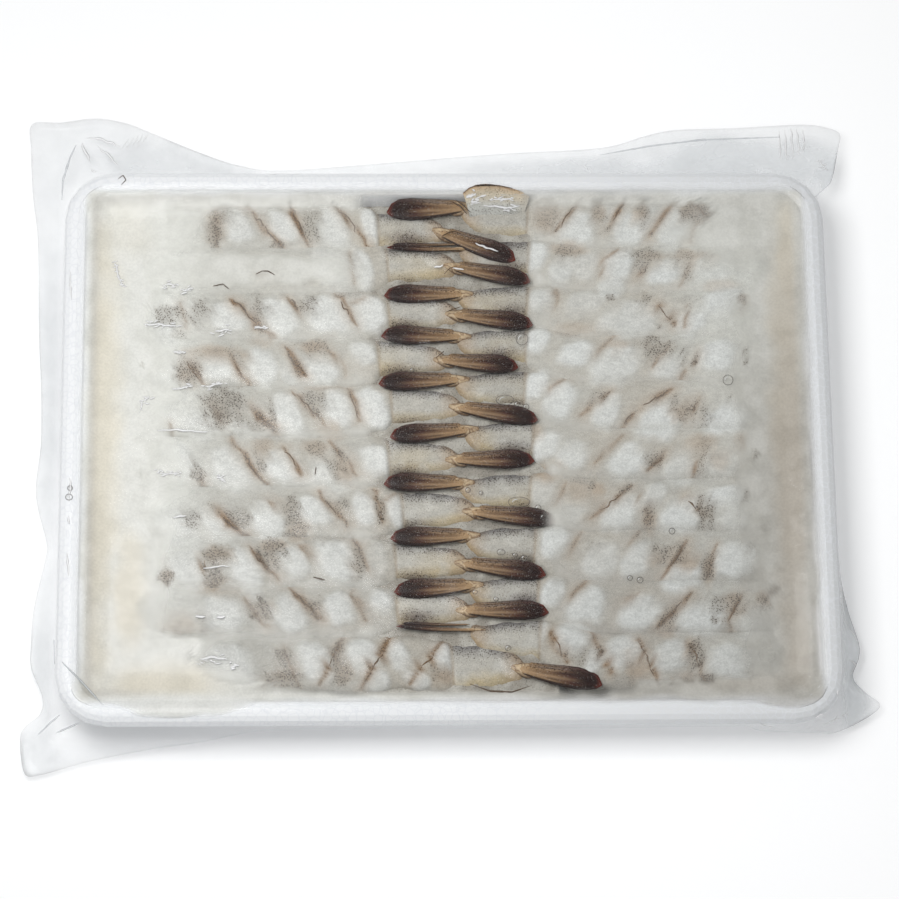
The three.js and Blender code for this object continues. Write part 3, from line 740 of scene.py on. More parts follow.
def film_material():
    """Nearly clear film with a faint mirror that grows at grazing angles."""
    shader = Shader("vacuum_film")
    haze = shader.attribute("haze")
    mottle = shader.ramp(shader.noise(9, 3), 0.3, 0.7, 0.8, 1.15)
    shader.set(Alpha=shader.math("MULTIPLY", haze, mottle, clamp=True))
    shader.surface.inputs["Base Color"].default_value = rgba(226, 229, 231)
    shader.surface.inputs["Roughness"].default_value = 0.3
    gloss = shader.add("ShaderNodeBsdfGlossy", {"Roughness": 0.12})
    facing = shader.add("ShaderNodeLayerWeight", {"Blend": 0.5}).outputs["Facing"]
    grazing = shader.times(shader.math("POWER", facing, 4.0), 0.06)
    mirror = shader.math("ADD", grazing, 0.009)
    sheen = shader.tree.nodes.new("ShaderNodeMixShader")
    shader.put(sheen.inputs[0], mirror)
    shader.put(sheen.inputs[1], shader.surface.outputs[0])
    shader.put(sheen.inputs[2], gloss.outputs[0])
    output = shader.tree.nodes["Material Output"]
    shader.put(output.inputs["Surface"], sheen.outputs[0])
    bump = shader.add(
        "ShaderNodeBump",
        {"Height": shader.noise(3.5, 3), "Strength": 0.35, "Distance": 0.35 * MM},
    )
    shader.set(Normal=bump.outputs[0])
    shader.put(gloss.inputs["Normal"], bump.outputs[0])
    return shader.material


def floor_material():
    """Pale floor; a little light of its own, more to the right, evens out the falling key light."""
    shader = Shader("pale_floor")
    shader.set(Base_Color=shader.mix(shader.noise(400, 2), rgba(250, 251, 251), rgba(252, 252, 253)))
    shader.surface.inputs["Roughness"].default_value = 0.9
    shader.surface.inputs["Emission Color"].default_value = (1, 1, 1, 1)
    shader.set(Emission_Strength=shader.ramp(shader.across(), -150 * MM, 170 * MM, 0.0, 0.13))
    return shader.material


def add_mesh(name, points, faces, values, material, slot):
    """A smooth mesh from points in millimetres, with its values for the material's attributes."""
    mesh = bpy.data.meshes.new(name)
    mesh.from_pydata((np.asarray(points) * MM).tolist(), [], faces)
    mesh.validate()
    mesh.polygons.foreach_set("use_smooth", [True] * len(mesh.polygons))
    for key, value in values.items():
        value = np.asarray(value, np.float32)
        if value.ndim == 2:
            data = mesh.attributes.new(key, "FLOAT_COLOR", "POINT").data
            opaque = np.ones((len(value), 1), np.float32)
            data.foreach_set("color", np.hstack([value, opaque]).ravel())
        else:
            data = mesh.attributes.new(key, "FLOAT", "POINT").data
            data.foreach_set("value", value)
    mesh.materials.append(material)
    piece = bpy.data.objects.new(name, mesh)
    bpy.context.scene.collection.objects.link(piece)
    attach(piece, "root")
    return piece


def ring_faces(rings, count, caps=True):
    """Faces of a stack of rings with equally many points, and one over either end."""
    faces = []
    for ring in range(rings - 1):
        here, there = ring * count, (ring + 1) * count
        for i in range(count):
            j = (i + 1) % count
            faces.append((here + i, here + j, there + j, there + i))
    if caps:
        last = (rings - 1) * count
        faces.append(tuple(reversed(range(count))))
        faces.append(tuple(last + i for i in range(count)))
    return faces


def point_list(x, y, z):
    """Points one after another, from grids of their three coordinates."""
    return np.stack([x, y, z], -1).reshape(-1, 3)


def flesh_values(count, paint, specks, gloss):
    """Values for the material of flesh and shell, each for every point or one for all."""
    return {
        "paint": np.full((count, 3), paint),
        "specks": np.full(count, specks),
        "gloss": np.full(count, gloss),
    }


def joined(parts):
    """One set of points, faces and values from several."""
    faces, first = [], 0
    for points, more, _ in parts:
        faces += [tuple(first + i for i in face) for face in more]
        first += len(points)
    values = {key: np.concatenate([part[2][key] for part in parts]) for key in parts[0][2]}
    return np.concatenate([part[0] for part in parts]), faces, values


def area_on_surface(mark):
    """Middle, half sizes and strength of an area given by pixels, as seen from above."""
    px, py, half_width, half_height, strength = mark
    x, y = at_pixel(px, py, SURFACE_HEIGHT)
    right, _ = at_pixel(px + half_width, py, SURFACE_HEIGHT)
    _, front = at_pixel(px, py + half_height, SURFACE_HEIGHT)
    return x, y, right - x, y - front, strength


def reach_in(x, y, cx, cy, half_x, half_y):
    """How far out points lie in an ellipse: 0 in its middle, 1 at its edge."""
    return np.hypot((x - cx) / half_x, (y - cy) / half_y)


class Shrimp:
    """Where one shrimp lies, how its body runs and what shows on it."""

    def __init__(self, side, row):
        self.name = f"{side}_{row + 1:02d}"
        self.node = f"shrimp_{self.name}"
        self.direction = 1 if side == "left" else -1
        rows = LEFT_ROWS if side == "left" else RIGHT_ROWS
        self.body_y, self.shell_y, self.tip_y = rows[row]
        low, high = (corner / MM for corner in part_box(self.node))
        self.head_x, self.tip_x = (low.x, high.x) if side == "left" else (high.x, low.x)
        self.stretch = abs(self.tip_x - self.head_x) / SHRIMP_LENGTH
        self.girth = FRONT_LEFT_GIRTH if self.name == "left_10" else 1
        self.root_y = self.shell_y + FAN_OFFSET[side]
        self.random = np.random.default_rng(100 * (1 if side == "left" else 2) + row)
        self.seams = [self.to_surface(mark) for mark in SEAMS[self.name]]
        self.patches = [area_on_surface(mark) for mark in PATCHES[self.name]]

    def x_at(self, along):
        return self.head_x + self.direction * self.stretch * along

    def along_at(self, x):
        return (x - self.head_x) * self.direction / self.stretch

    def dark_place(self):
        """A point a little behind the dark tip of the fan."""
        back = 0.75
        x = self.x_at(FAN_START) + (self.tip_x - self.x_at(FAN_START)) * back
        return x, self.root_y + (self.tip_y - self.root_y) * back + 3

    @staticmethod
    def to_surface(mark):
        x0, y0, x1, y1, strength = mark
        return (*at_pixel(x0, y0, SURFACE_HEIGHT), *at_pixel(x1, y1, SURFACE_HEIGHT), strength)

    def run(self, along):
        """Section sizes and the run of the middle at distances along the shrimp."""
        table = np.array(SECTIONS, float)
        spread = np.linspace(-2.5, 2.5, 9)
        weights = np.cos(spread / 2.5 * math.pi / 2) + 0.02
        columns = [
            sum(w * np.interp(along + s, table[:, 0], table[:, k]) for s, w in zip(spread, weights))
            / weights.sum()
            for k in range(1, 6)
        ]
        half_width, half_height, height, slant, tail = columns
        half_width = half_width * (1 + (self.girth - 1) * tail)
        swell = soft_noise(along, np.full_like(along, 7 * self.body_y), 9, 17)
        half_width = half_width * (1 + 0.07 * swell * (1 - tail))
        shell = smoothstep(82, 88, along) * smoothstep(109, 103, along)
        half_width = half_width * (1 + (SHELL_GIRTH.get(self.name, 1) - 1) * shell)
        middle = self.body_y + (self.shell_y - self.body_y) * tail
        fan_share = smoothstep(FAN_START - 2, BODY_END, along)
        middle = middle + (self.root_y - self.shell_y) * fan_share
        return half_width, half_height, height, slant, middle


def distance_to_line(x, y, x0, y0, x1, y1):
    """Distance of points to a stretch of line, and the share along it of the nearest point."""
    dx, dy = x1 - x0, y1 - y0
    share = np.clip(((x - x0) * dx + (y - y0) * dy) / (dx * dx + dy * dy), 0, 1)
    return np.hypot(x - x0 - share * dx, y - y0 - share * dy), share


def lobe_fullness(x, y):
    """From 0 to 1, how far into a white lobe each point is, and how bright that lobe is."""
    full, bright = np.zeros_like(x), np.zeros_like(x)
    shear = np.where(x < 3, LOBE_SHEAR, -LOBE_SHEAR)
    wobble = 0.2 * soft_noise(x, y, 4.5, 31) + 0.09 * soft_noise(x, y, 1.8, 32)
    for lobe in LOBES:
        cx, cy, half_x, half_y, brightness = area_on_surface(lobe)
        if abs(cy - np.mean(y)) > 2 * half_y + np.ptp(y) / 2:
            continue
        off_x, off_y = x - cx + shear * (y - cy), y - cy
        reach = (np.abs(off_x / half_x) ** 2.3 + np.abs(off_y / half_y) ** 2.3) ** (1 / 2.3)
        share = 1 - smoothstep(0.7, 1.4, reach + wobble)
        full = np.maximum(full, share)
        bright = np.maximum(bright, brightness * share)
    return full, bright


def tan_strength(x, y):
    """How tan and translucent the flesh is at each point."""
    strength = np.zeros_like(x)
    edge = 0.25 * soft_noise(x, y, 3.5, 33) + 0.12 * soft_noise(x, y, 1.2, 34)
    for place in TAN_PLACES:
        cx, cy, half_x, half_y, amount = area_on_surface(place)
        if abs(cy - np.mean(y)) > 2 * half_y + np.ptp(y) / 2:
            continue
        reach = reach_in(x, y, cx, cy, half_x, half_y) + edge
        strength = np.maximum(strength, amount * (1 - smoothstep(0.3, 1.4, reach)))
    return strength


def seam_strength(shrimp, x, y):
    """How strongly a seam's line, and the tan haze round it, show at each point."""
    line, haze = np.zeros_like(x), np.zeros_like(x)
    wander = 0.7 * soft_noise(x, y, 2.4, 7)
    for x0, y0, x1, y1, strength in shrimp.seams:
        distance, share = distance_to_line(x + wander, y + wander, x0, y0, x1, y1)
        width = 0.5 + 0.6 * np.sin(math.pi * share) * strength
        broken = 0.8 + 0.2 * soft_noise(x, y, 1.4, 11)
        line = np.maximum(line, strength * broken * np.exp(-((distance / width) ** 2)))
        haze = np.maximum(haze, strength * np.exp(-((distance / 2.4) ** 2)))
    return line, haze


def patch_strength(shrimp, x, y):
    """How densely speckled the flesh is at each point."""
    patch = np.zeros_like(x)
    edge = 0.4 * soft_noise(x, y, 2.0, 23) + 0.35 * soft_noise(x, y, 0.9, 29)
    for cx, cy, half_x, half_y, strength in shrimp.patches:
        reach = reach_in(x, y, cx, cy, half_x, half_y) + edge
        patch = np.maximum(patch, strength * (1 - smoothstep(0.55, 1.35, reach)))
    return patch


def blend(first, second, share):
    """Colours between two, by the share of the second at each point."""
    share = np.asarray(share)[..., None]
    return first * (1 - share) + second * share


def along_line(pixels, spacing):
    """Pixels evenly spaced along a line through the given ones."""
    marks = np.array(pixels, float)
    lengths = np.concatenate([[0], np.cumsum(np.hypot(*np.diff(marks, axis=0).T))])
    count = max(int(lengths[-1] / spacing), 5) + 1
    at = np.linspace(0, lengths[-1], count)
    return np.interp(at, lengths, marks[:, 0]), np.interp(at, lengths, marks[:, 1])


def seen_at(tree, px, py):
    """Points of a surface, and its normals, that the camera sees at some pixels."""
    right, up, back = camera_axes()
    place = CAMERA_TARGET + back * CAMERA_DISTANCE
    points, normals = [], []
    for x, y in zip(px, py):
        across, down = (x - IMAGE_SIZE / 2), (y - IMAGE_SIZE / 2)
        ray = right * across - up * down - back * FOCAL_LENGTH_PIXELS
        hit, normal, _, _ = tree.ray_cast(Vector(place), Vector(ray).normalized())
        if hit is not None:
            points.append(hit)
            normals.append(normal if normal.z > 0 else -normal)
    return np.array(points), np.array(normals)


# A line on a surface ends where the height changes more than this from point to point
LARGEST_STEP = 0.5


def ribbon(tree, pixels, width, lift=0.12, closed=False, wander=0.0):
    """A flat strip that lies on a surface along a line of pixels and tapers to its ends."""
    px, py = along_line(pixels, PIXELS_PER_MM * 0.35)
    px = px + wander * soft_noise(px, py, 5, 91)
    py = py + wander * soft_noise(px, py, 5, 92)
    points, normals = seen_at(tree, px, py)
    drops = np.flatnonzero(np.abs(np.diff(points[:, 2])) > LARGEST_STEP)
    if len(drops) > 0:
        points, normals = points[:drops[0] + 1], normals[:drops[0] + 1]
    if len(points) < 4:
        return None
    forward = np.gradient(points, axis=0)
    forward /= np.linalg.norm(forward, axis=1)[:, None] + 1e-9
    aside = np.cross(forward, normals)
    share = np.linspace(0, 1, len(points))
    taper = np.ones_like(share) if closed else np.sin(math.pi * (0.05 + 0.9 * share)) ** 0.6
    uneven = 1 + 0.35 * soft_noise(px[:len(points)], py[:len(points)], 4, 93) * (not closed)
    half = (width / PIXELS_PER_MM / 2 * taper * uneven)[:, None]
    ring = [
        points + aside * half,
        points + normals * lift,
        points - aside * half,
        points - normals * lift,
    ]
    return np.stack(ring, 1).reshape(-1, 3)


# Colours of the flesh, the left half's and the right half's apart, and of its seams
FLESH_COOL = srgb(182, 180, 172)
FLESH_WARM = srgb(188, 182, 170)
FLESH_AT_LEFT = srgb(183, 181, 173)
HEADS_AT_LEFT = srgb(224, 225, 220)
HEADS_AT_RIGHT = srgb(213, 214, 208)
LOBES_AT_LEFT = srgb(216, 217, 213)
LOBES_AT_RIGHT = srgb(213, 215, 212)
TAN_FLESH = srgb(170, 143, 112)
SPECKLED_FLESH = srgb(134, 125, 112)
TAN_SEAM = srgb(134, 106, 74)
BROWN_SEAM = srgb(100, 80, 58)
WEAK_CORE = srgb(136, 109, 78)
STRONG_CORE = srgb(100, 78, 55)


def paint_flesh(shrimp, x, y):
    """Colour and specks of the peeled body at points seen from above."""
    full, bright = lobe_fullness(x, y)
    line, haze = seam_strength(shrimp, x, y)
    patch = patch_strength(shrimp, x, y)
    drift = 0.5 + 0.5 * soft_noise(x, y, 7, 41)
    base = blend(FLESH_COOL, FLESH_WARM, drift)
    base = blend(FLESH_AT_LEFT, base, smoothstep(-75, -10, x))
    left_heads = smoothstep(-70, -92, x) * (1 - 0.35 * smoothstep(-10, -60, y))
    base = blend(base, HEADS_AT_LEFT, left_heads)
    right_heads = smoothstep(62, 88, x) * (0.45 + 0.55 * smoothstep(0, 55, y))
    base = blend(base, HEADS_AT_RIGHT, right_heads)
    lobe = blend(LOBES_AT_LEFT, LOBES_AT_RIGHT, smoothstep(-30, 60, x))
    colour = blend(base, lobe, np.clip(1.05 * bright, 0, 1))
    tan = np.maximum(0.45 * haze, 0.65 * tan_strength(x, y))
    colour = blend(colour, TAN_FLESH, tan)
    colour = blend(colour, SPECKLED_FLESH, 0.6 * patch)
    brown = blend(TAN_SEAM, BROWN_SEAM, patch)
    colour = blend(colour, brown, np.clip(line * 1.5, 0, 1))
    # Painted shade: the front rows are a little darker, where the light falls off
    colour = colour * (1 - 0.14 * smoothstep(10, -70, y))[..., None]
    specks = np.clip(patch + 0.7 * line + 0.3 * haze + 0.2 * (1 - full), 0, 1)
    return colour, specks


def dusk_at(x, y, dark_places):
    """From 0 to 1, how near each point is to the dark tip of a fan."""
    dusk = np.zeros_like(x)
    for cx, cy in dark_places:
        dusk = np.maximum(dusk, np.exp(-(((x - cx) / 6) ** 2) - ((y - cy) / 2.4) ** 2))
    return dusk


# Colours of the last segment's shell: across it, its frost, its amber end, its shade by the
# dark tip of a neighbour's fan, and its front edge
SHELL_FRONT = srgb(190, 176, 146)
SHELL_MIDDLE = srgb(184, 181, 172)
SHELL_BACK = srgb(128, 126, 125)
SHELL_FROST = srgb(206, 205, 198)
SHELL_AMBER = srgb(168, 140, 106)
SHELL_DUSK = srgb(84, 74, 74)
SHELL_EDGE = srgb(138, 116, 86)


def paint_shell(x, y, across, along, colour, specks, dark_places):
    """The last segment in its shell: speckled bluish grey behind, yellowish in front."""
    shell = smoothstep(SHELL_START - 1.5, SHELL_START + 1, along)
    pale = smoothstep(-0.85, -0.1, across) + 0.6 * soft_noise(x, y, 13, 47)
    hue = blend(SHELL_FRONT, SHELL_MIDDLE, np.clip(pale, 0, 1))
    hue = blend(hue, SHELL_BACK, smoothstep(0.1, 0.9, across))
    frost = smoothstep(0.1, 0.8, soft_noise(x, y, 3.2, 43))
    hue = blend(hue, SHELL_FROST, 0.35 * frost)
    amber = smoothstep(99, 107, along)
    hue = blend(hue, SHELL_AMBER, 0.6 * amber)
    dusk = dusk_at(x, y, dark_places)
    hue = blend(hue, SHELL_DUSK, 0.8 * dusk)
    edge = np.exp(-(((along - SHELL_START) / 0.6) ** 2))
    hue = blend(hue, SHELL_EDGE, 0.6 * edge)
    # Painted shade: shells on the right are a little darker, where the light falls off
    hue = hue * (1 - 0.08 * smoothstep(-5, 10, x))[..., None]
    colour = blend(colour, hue, shell)
    behind = smoothstep(0.0, 0.8, across)
    specks = specks * (1 - shell) + (0.55 * behind + 0.45 + 0.5 * dusk) * shell
    return colour, np.clip(specks, 0, 1), shell


def ring_angles():
    """Angles round a body's section, close together on top and wide apart underneath."""
    top, under = ((38, 10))
    lean = 0.12
    upper = np.linspace(-lean, math.pi + lean, top)
    lower = np.linspace(math.pi + lean, 2 * math.pi - lean, under + 2)[1:-1]
    return np.concatenate([upper, lower])


def squareness(along):
    """How boxy the section is at a distance along a shrimp: 1 is round, less is boxier."""
    return BODY_SQUARENESS + (SHELL_SQUARENESS - BODY_SQUARENESS) * smoothstep(78, 90, along)


def squared(values, power):
    """Cosines or sines of a round section, turned into those of a boxy one."""
    return np.sign(values) * np.abs(values) ** power


def body_mesh(shrimp, dark_places):
    """The peeled body and the last segment in its shell, down to the root of the fan."""
    steps = ((156, 60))
    along = np.concatenate([np.linspace(0, 80, steps[0])[:-1], np.linspace(80, BODY_END, steps[1])])
    half_width, half_height, height, slant, middle = shrimp.run(along)
    head_round = np.sqrt(1 - (1 - np.clip(along / 5, 0.02, 1)) ** 2)
    end_round = np.sqrt(1 - (1 - np.clip((BODY_END - along) / 3, 0.02, 1)) ** 2)
    half_width = half_width * head_round * end_round
    half_height = half_height * head_round * end_round
    angle = ring_angles()
    power = squareness(along)[:, None]
    across, rise = squared(np.cos(angle), power), squared(np.sin(angle), power)
    along_all = np.repeat(along[:, None], len(angle), 1)
    x = shrimp.x_at(along_all) - shrimp.direction * GROOVE_SLANT * slant[:, None] * across
    y = middle[:, None] + half_width[:, None] * across
    full, bright = lobe_fullness(x, y)
    line, _ = seam_strength(shrimp, x, y)
    shell = smoothstep(SHELL_START - 1.5, SHELL_START + 1, along_all)
    relief = (LOBE_RELIEF * full + LOBE_RELIEF * bright - SEAM_DEPTH * line) * (1 - shell)
    relief = relief + 0.12 * soft_noise(x, y, 1.7, 51) * (1 - shell)
    relief = relief - 0.25 * np.exp(-(((along_all - SHELL_START) / 0.8) ** 2))
    relief = relief * np.clip(rise + 0.3, 0, 1) * (head_round * end_round)[:, None]
    y = y + relief * across * 0.6
    z = height[:, None] + half_height[:, None] * rise + relief * rise
    colour, specks = paint_flesh(shrimp, x, y)
    colour, specks, shell = paint_shell(x, y, across, along_all, colour, specks, dark_places)
    values = flesh_values(x.size, colour.reshape(-1, 3), specks.ravel(), shell.ravel())
    return point_list(x, y, z), ring_faces(len(along), len(angle)), values


# The closed fan as two blades, one over the other, and a knob where they join the last segment:
# (start, end, half width, half thickness, sideways shift, middle height, darkness)
FAN_BLADES = [
    (0.02, 1.0, 3.0, 0.9, 0.0, 16.8, 0.0),
    (0.1, 0.93, 2.1, 0.8, 1.9, 16.5, 0.7),
]
FAN_KNOB = (-0.12, 0.2, 2.1, 1.5, 0.2, 15.7, 0.0)
FAN_GLOSS = 0.55

# Half width of a blade along its length, as shares of its greatest half width
BLADE_STOPS = [0, 0.04, 0.25, 0.5, 0.7, 0.84, 0.94, 1]
BLADE_WIDTHS = [0.1, 0.42, 0.66, 0.88, 1, 0.9, 0.6, 0.06]

# Hues of a blade from its root to its tip: (share of its length, colour)
BLADE_HUES = [
    (0, srgb(176, 148, 112)),
    (0.12, srgb(150, 122, 90)),
    (0.3, srgb(128, 101, 74)),
    (0.46, srgb(98, 72, 52)),
    (0.6, srgb(60, 29, 22)),
    (0.73, srgb(28, 6, 4)),
    (0.93, srgb(28, 6, 4)),
    (1, srgb(74, 24, 15)),
]

# Colours laid over them: the lower blade's shade, ribs, the glow between them, the frosty back
# edge at the root and at the tip, the tip and the front rim
BLADE_SHADE = srgb(58, 46, 46)
BLADE_RIB = srgb(44, 24, 18)
BLADE_GLOW = srgb(180, 152, 116)
BLADE_VEIL = srgb(132, 120, 112)
BLADE_TIP_VEIL = srgb(84, 60, 56)
BLADE_TIP = srgb(112, 50, 38)
BLADE_RIM = srgb(30, 14, 13)

KNOB = srgb(198, 176, 144)
KNOB_GROOVES = srgb(110, 80, 56)
KNOB_FOOT = srgb(84, 60, 44)


def paint_blade(along, across, darkness):
    """Golden brown at the root to nearly black at the tip, with ribs and a crisp dark front rim."""
    stops, hues = zip(*BLADE_HUES)
    # The dark of the tip reaches further up along the back edge than along the front
    shifted = along + 0.08 * across * smoothstep(0, 0.4, along)
    colour = np.stack([np.interp(shifted, stops, [hue[k] for hue in hues]) for k in range(3)], -1)
    colour = blend(colour, BLADE_SHADE, darkness * (0.3 + 0.7 * along))
    swerve = 0.5 * soft_noise(30 * along, 6 * across + 40 * darkness, 5, 44)
    rib = np.cos(across * 8.5 + 0.4 + 0.8 * along + swerve) ** 12
    colour = blend(colour, BLADE_RIB, 0.75 * rib * smoothstep(0.08, 0.25, along))
    glow = np.cos(across * 8.5 + 1.9 + 0.8 * along + swerve) ** 6 * smoothstep(0.85, 0.4, along)
    colour = blend(colour, BLADE_GLOW, 0.4 * glow)
    back = smoothstep(0.3, 0.95, across) * smoothstep(0.1, 0.3, along) * smoothstep(1, 0.85, along)
    veil = blend(BLADE_VEIL, BLADE_TIP_VEIL, smoothstep(0.4, 0.75, along))
    colour = blend(colour, veil, 0.6 * back)
    tip = smoothstep(0.91, 1.02, along + 0.07 * np.abs(across) ** 3)
    colour = blend(colour, BLADE_TIP, 0.8 * tip)
    rim = smoothstep(-0.72, -0.9, across) * smoothstep(0.02, 0.1, along)
    return blend(colour, BLADE_RIM, 0.95 * rim * smoothstep(1, 0.9, along))


def blade_mesh(shrimp, blade):
    """A blade of the closed fan, from its root at the last segment to its tip."""
    start, end, half_width, half_thickness, shift, height, darkness = blade
    rings, count = ((66, 24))
    share = np.linspace(start, end, rings)
    root_x, tip_x = shrimp.x_at(FAN_START + 1), shrimp.tip_x
    run = np.array([tip_x - root_x, shrimp.tip_y - shrimp.root_y])
    length = np.hypot(*run)
    ahead = run / length
    aside = np.array([-ahead[1], ahead[0]]) * shrimp.direction
    local = (share - start) / (end - start)
    leaf = np.interp(local, BLADE_STOPS, BLADE_WIDTHS)
    girth = FAN_GIRTH.get(shrimp.name, 1)
    angle = np.linspace(0, 2 * math.pi, count, endpoint=False)
    ridge = 1 + 0.05 * np.cos(6 * angle)
    across, rise = np.cos(angle), np.sin(angle)
    sideways = (shift * (1 - 0.4 * share) - 0.5 * np.sin(math.pi * share))[:, None]
    sideways = sideways + (half_width * girth * leaf)[:, None] * across * ridge
    # The front edge runs on to the tip, and the back edge curves down to it
    bend = (1 - leaf) * smoothstep(0.6, 0.85, local)
    sideways = sideways - 0.4 * half_width * girth * bend[:, None]
    x = root_x + (ahead[0] * length * share)[:, None] + aside[0] * sideways
    y = shrimp.root_y + (ahead[1] * length * share)[:, None] + aside[1] * sideways
    z = height + (half_thickness * leaf)[:, None] * rise * ridge
    share_all = np.repeat(share[:, None], count, 1)
    across_all = np.repeat(across[None, :], rings, 0)
    colour = paint_blade(share_all, across_all, darkness).reshape(-1, 3)
    specks = smoothstep(-0.2, 0.6, across_all).ravel()
    values = flesh_values(x.size, colour, specks, FAN_GLOSS)
    return point_list(x, y, z), ring_faces(rings, count), values


def knob_mesh(shrimp):
    """The grooved knob where the fan joins the last segment."""
    points, faces, _ = blade_mesh(shrimp, FAN_KNOB)
    x, y, z = points.T
    grooves = np.cos(y * 2 + 0.6 * x + 3 * soft_noise(x, y, 1.6, 45)) ** 6
    colour = blend(KNOB, KNOB_GROOVES, 0.8 * grooves)
    colour = blend(colour, KNOB_FOOT, 0.8 * smoothstep(16.9, 15.9, z))
    return points, faces, flesh_values(len(points), colour, 0.35, FAN_GLOSS)


def seam_cores(shrimp, tree):
    """The dark core of each strong seam between segments, lying on the flesh."""
    cores = []
    for x0, y0, x1, y1, strength in SEAMS[shrimp.name]:
        if strength < STRONG_SEAM:
            continue
        start, end = sorted(shrimp.random.uniform(0, 1, 2) * [0.25, 0.35] + [0, 0.6])
        sway = shrimp.random.uniform(-2, 2, 2)
        line = [
            (x0 + (x1 - x0) * share + bend * sway[0], y0 + (y1 - y0) * share + bend * sway[1])
            for share, bend in ((start, 0), ((start + end) / 2, 1), (end, 0))
        ]
        strip = ribbon(tree, line, 0.6 + 1.3 * strength, 0.05, wander=1.8)
        if strip is None:
            continue
        hue = blend(WEAK_CORE, STRONG_CORE, strength)
        values = flesh_values(len(strip), hue, 0.6, 0.0)
        cores.append((strip, ring_faces(len(strip) // 4, 4), values))
    return cores


def make_shrimp(shrimp, dark_places, material):
    """One shrimp: body with its last shell, two blades and knob of the fan, and seam cores."""
    points, faces, values = body_mesh(shrimp, dark_places)
    tree = BVHTree.FromPolygons(points.tolist(), faces)
    blades = [blade_mesh(shrimp, blade) for blade in reversed(FAN_BLADES)]
    parts = [(points, faces, values), *blades, knob_mesh(shrimp), *seam_cores(shrimp, tree)]
    piece = add_mesh(f"flesh_{shrimp.name}", *joined(parts), material, "shrimp")
    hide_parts(shrimp.node)


GRID_STEP = 0.8
GRID_X = np.arange(-125, 125.1, GRID_STEP)
GRID_Y = np.arange(-95, 95.1, GRID_STEP)


def blurred(values, radius):
    """Values on the grid, blurred in both directions."""
    reach = int(round(2.5 * radius / GRID_STEP))
    offsets = np.arange(-reach, reach + 1)
    weights = np.exp(-((offsets * GRID_STEP / radius) ** 2) / 2)
    weights /= weights.sum()
    for axis in (0, 1):
        padded = np.pad(values, [(reach, reach) if k == axis else (0, 0) for k in (0, 1)], "edge")
        values = sum(
            w * np.take(padded, np.arange(values.shape[axis]) + k, axis)
            for k, w in enumerate(weights)
        )
    return values


def bare_surface(shrimps):
    """Height of the shrimp's bodies as seen from above, on the grid."""
    x, y = np.meshgrid(GRID_X, GRID_Y, indexing="ij")
    top = np.full_like(x, 12.0)
    full, bright = lobe_fullness(x, y)
    relief = LOBE_RELIEF * full + LOBE_RELIEF * bright
    for shrimp in shrimps:
        along = shrimp.along_at(x)
        half_width, half_height, height, _, middle = shrimp.run(np.clip(along, 0, BODY_END))
        inside = (along > 1) & (along < BODY_END - 1) & (np.abs(y - middle) < half_width)
        across = np.clip(np.abs(y - middle) / half_width, 0, 1)
        power = squareness(along)
        body = height + half_height * (1 - across ** (2 / power)) ** (power / 2)
        body = body + relief * (along < SHELL_START)
        top = np.where(inside, np.maximum(top, body), top)
    return top


def contents_surface(bare, shrimps):
    """Height of the ice over bodies and fans, filling the valleys between them."""
    x, y = np.meshgrid(GRID_X, GRID_Y, indexing="ij")
    covered = bare
    for shrimp in shrimps:
        fan_share = (shrimp.along_at(x) - FAN_START) / (SHRIMP_LENGTH - FAN_START)
        fan_y = shrimp.root_y + (shrimp.tip_y - shrimp.root_y) * np.clip(fan_share, 0, 1)
        over_fan = (fan_share > -0.1) & (fan_share < 1.08) & (np.abs(y - fan_y - 0.5) < 4)
        covered = np.where(over_fan, np.maximum(covered, 17.9), covered)
    filled = np.maximum(covered, blurred(covered, 3.0) + 0.4)
    top = np.maximum(blurred(filled, 1.0), blurred(covered, 0.5)) + 0.3
    wall = wall_distance(x, y)
    margin = 17.1 + 1.9 * (1 - smoothstep(7, 17, wall))
    margin = margin + 0.25 * soft_noise(x, y, 18, 61) + 0.15 * soft_noise(x, y, 6, 62)
    return blurred(np.maximum(top, margin), 0.9)


def wall_distance(x, y):
    """Distance of points inside the tray to the nearest side of its outline."""
    return np.minimum(HALF_LENGTH - np.abs(x), HALF_WIDTH - np.abs(y))


def look_up(grid, x, y):
    """Values of the grid at any points, blended from the four grid points around each."""
    u = np.clip((x - GRID_X[0]) / GRID_STEP, 0, len(GRID_X) - 1.001)
    v = np.clip((y - GRID_Y[0]) / GRID_STEP, 0, len(GRID_Y) - 1.001)
    i, j = u.astype(int), v.astype(int)
    a, b = u - i, v - j
    lower = grid[i, j] * (1 - a) + grid[i + 1, j] * a
    upper = grid[i, j + 1] * (1 - a) + grid[i + 1, j + 1] * a
    return lower * (1 - b) + upper * b


def tray_outline(count, inset=0.0):
    """Points round the tray's rim, or inside it by the inset, evenly by angle and by length."""
    half_x, half_y = HALF_LENGTH - inset, HALF_WIDTH - inset
    radius = max(TRAY_CORNER_RADIUS - inset, SMALLEST_CORNER_RADIUS)
    straight_x, straight_y = 2 * (half_x - radius), 2 * (half_y - radius)
    arc = math.pi / 2 * radius
    half_side = [straight_y / 2, arc, straight_x, arc]
    lengths = [*half_side, straight_y, arc, straight_x, arc, straight_y / 2]
    ends = np.concatenate([[0], np.cumsum(lengths)])
    place = np.linspace(0, ends[-1], count, endpoint=False)
    corner = [(1, 1), (-1, 1), (-1, -1), (1, -1)]
    keys_x, keys_y = [half_x], [0.0]
    stops = [0.0]
    for k, (sx, sy) in enumerate(corner):
        start = ends[1 + 2 * k]
        for step in range(13):
            turn = math.pi / 2 * (k + step / 12)
            keys_x.append(sx * (half_x - radius) + radius * math.cos(turn))
            keys_y.append(sy * (half_y - radius) + radius * math.sin(turn))
            stops.append(start + arc * step / 12)
    keys_x.append(half_x)
    keys_y.append(0.0)
    stops.append(ends[-1])
    return np.interp(place, stops, keys_x), np.interp(place, stops, keys_y)


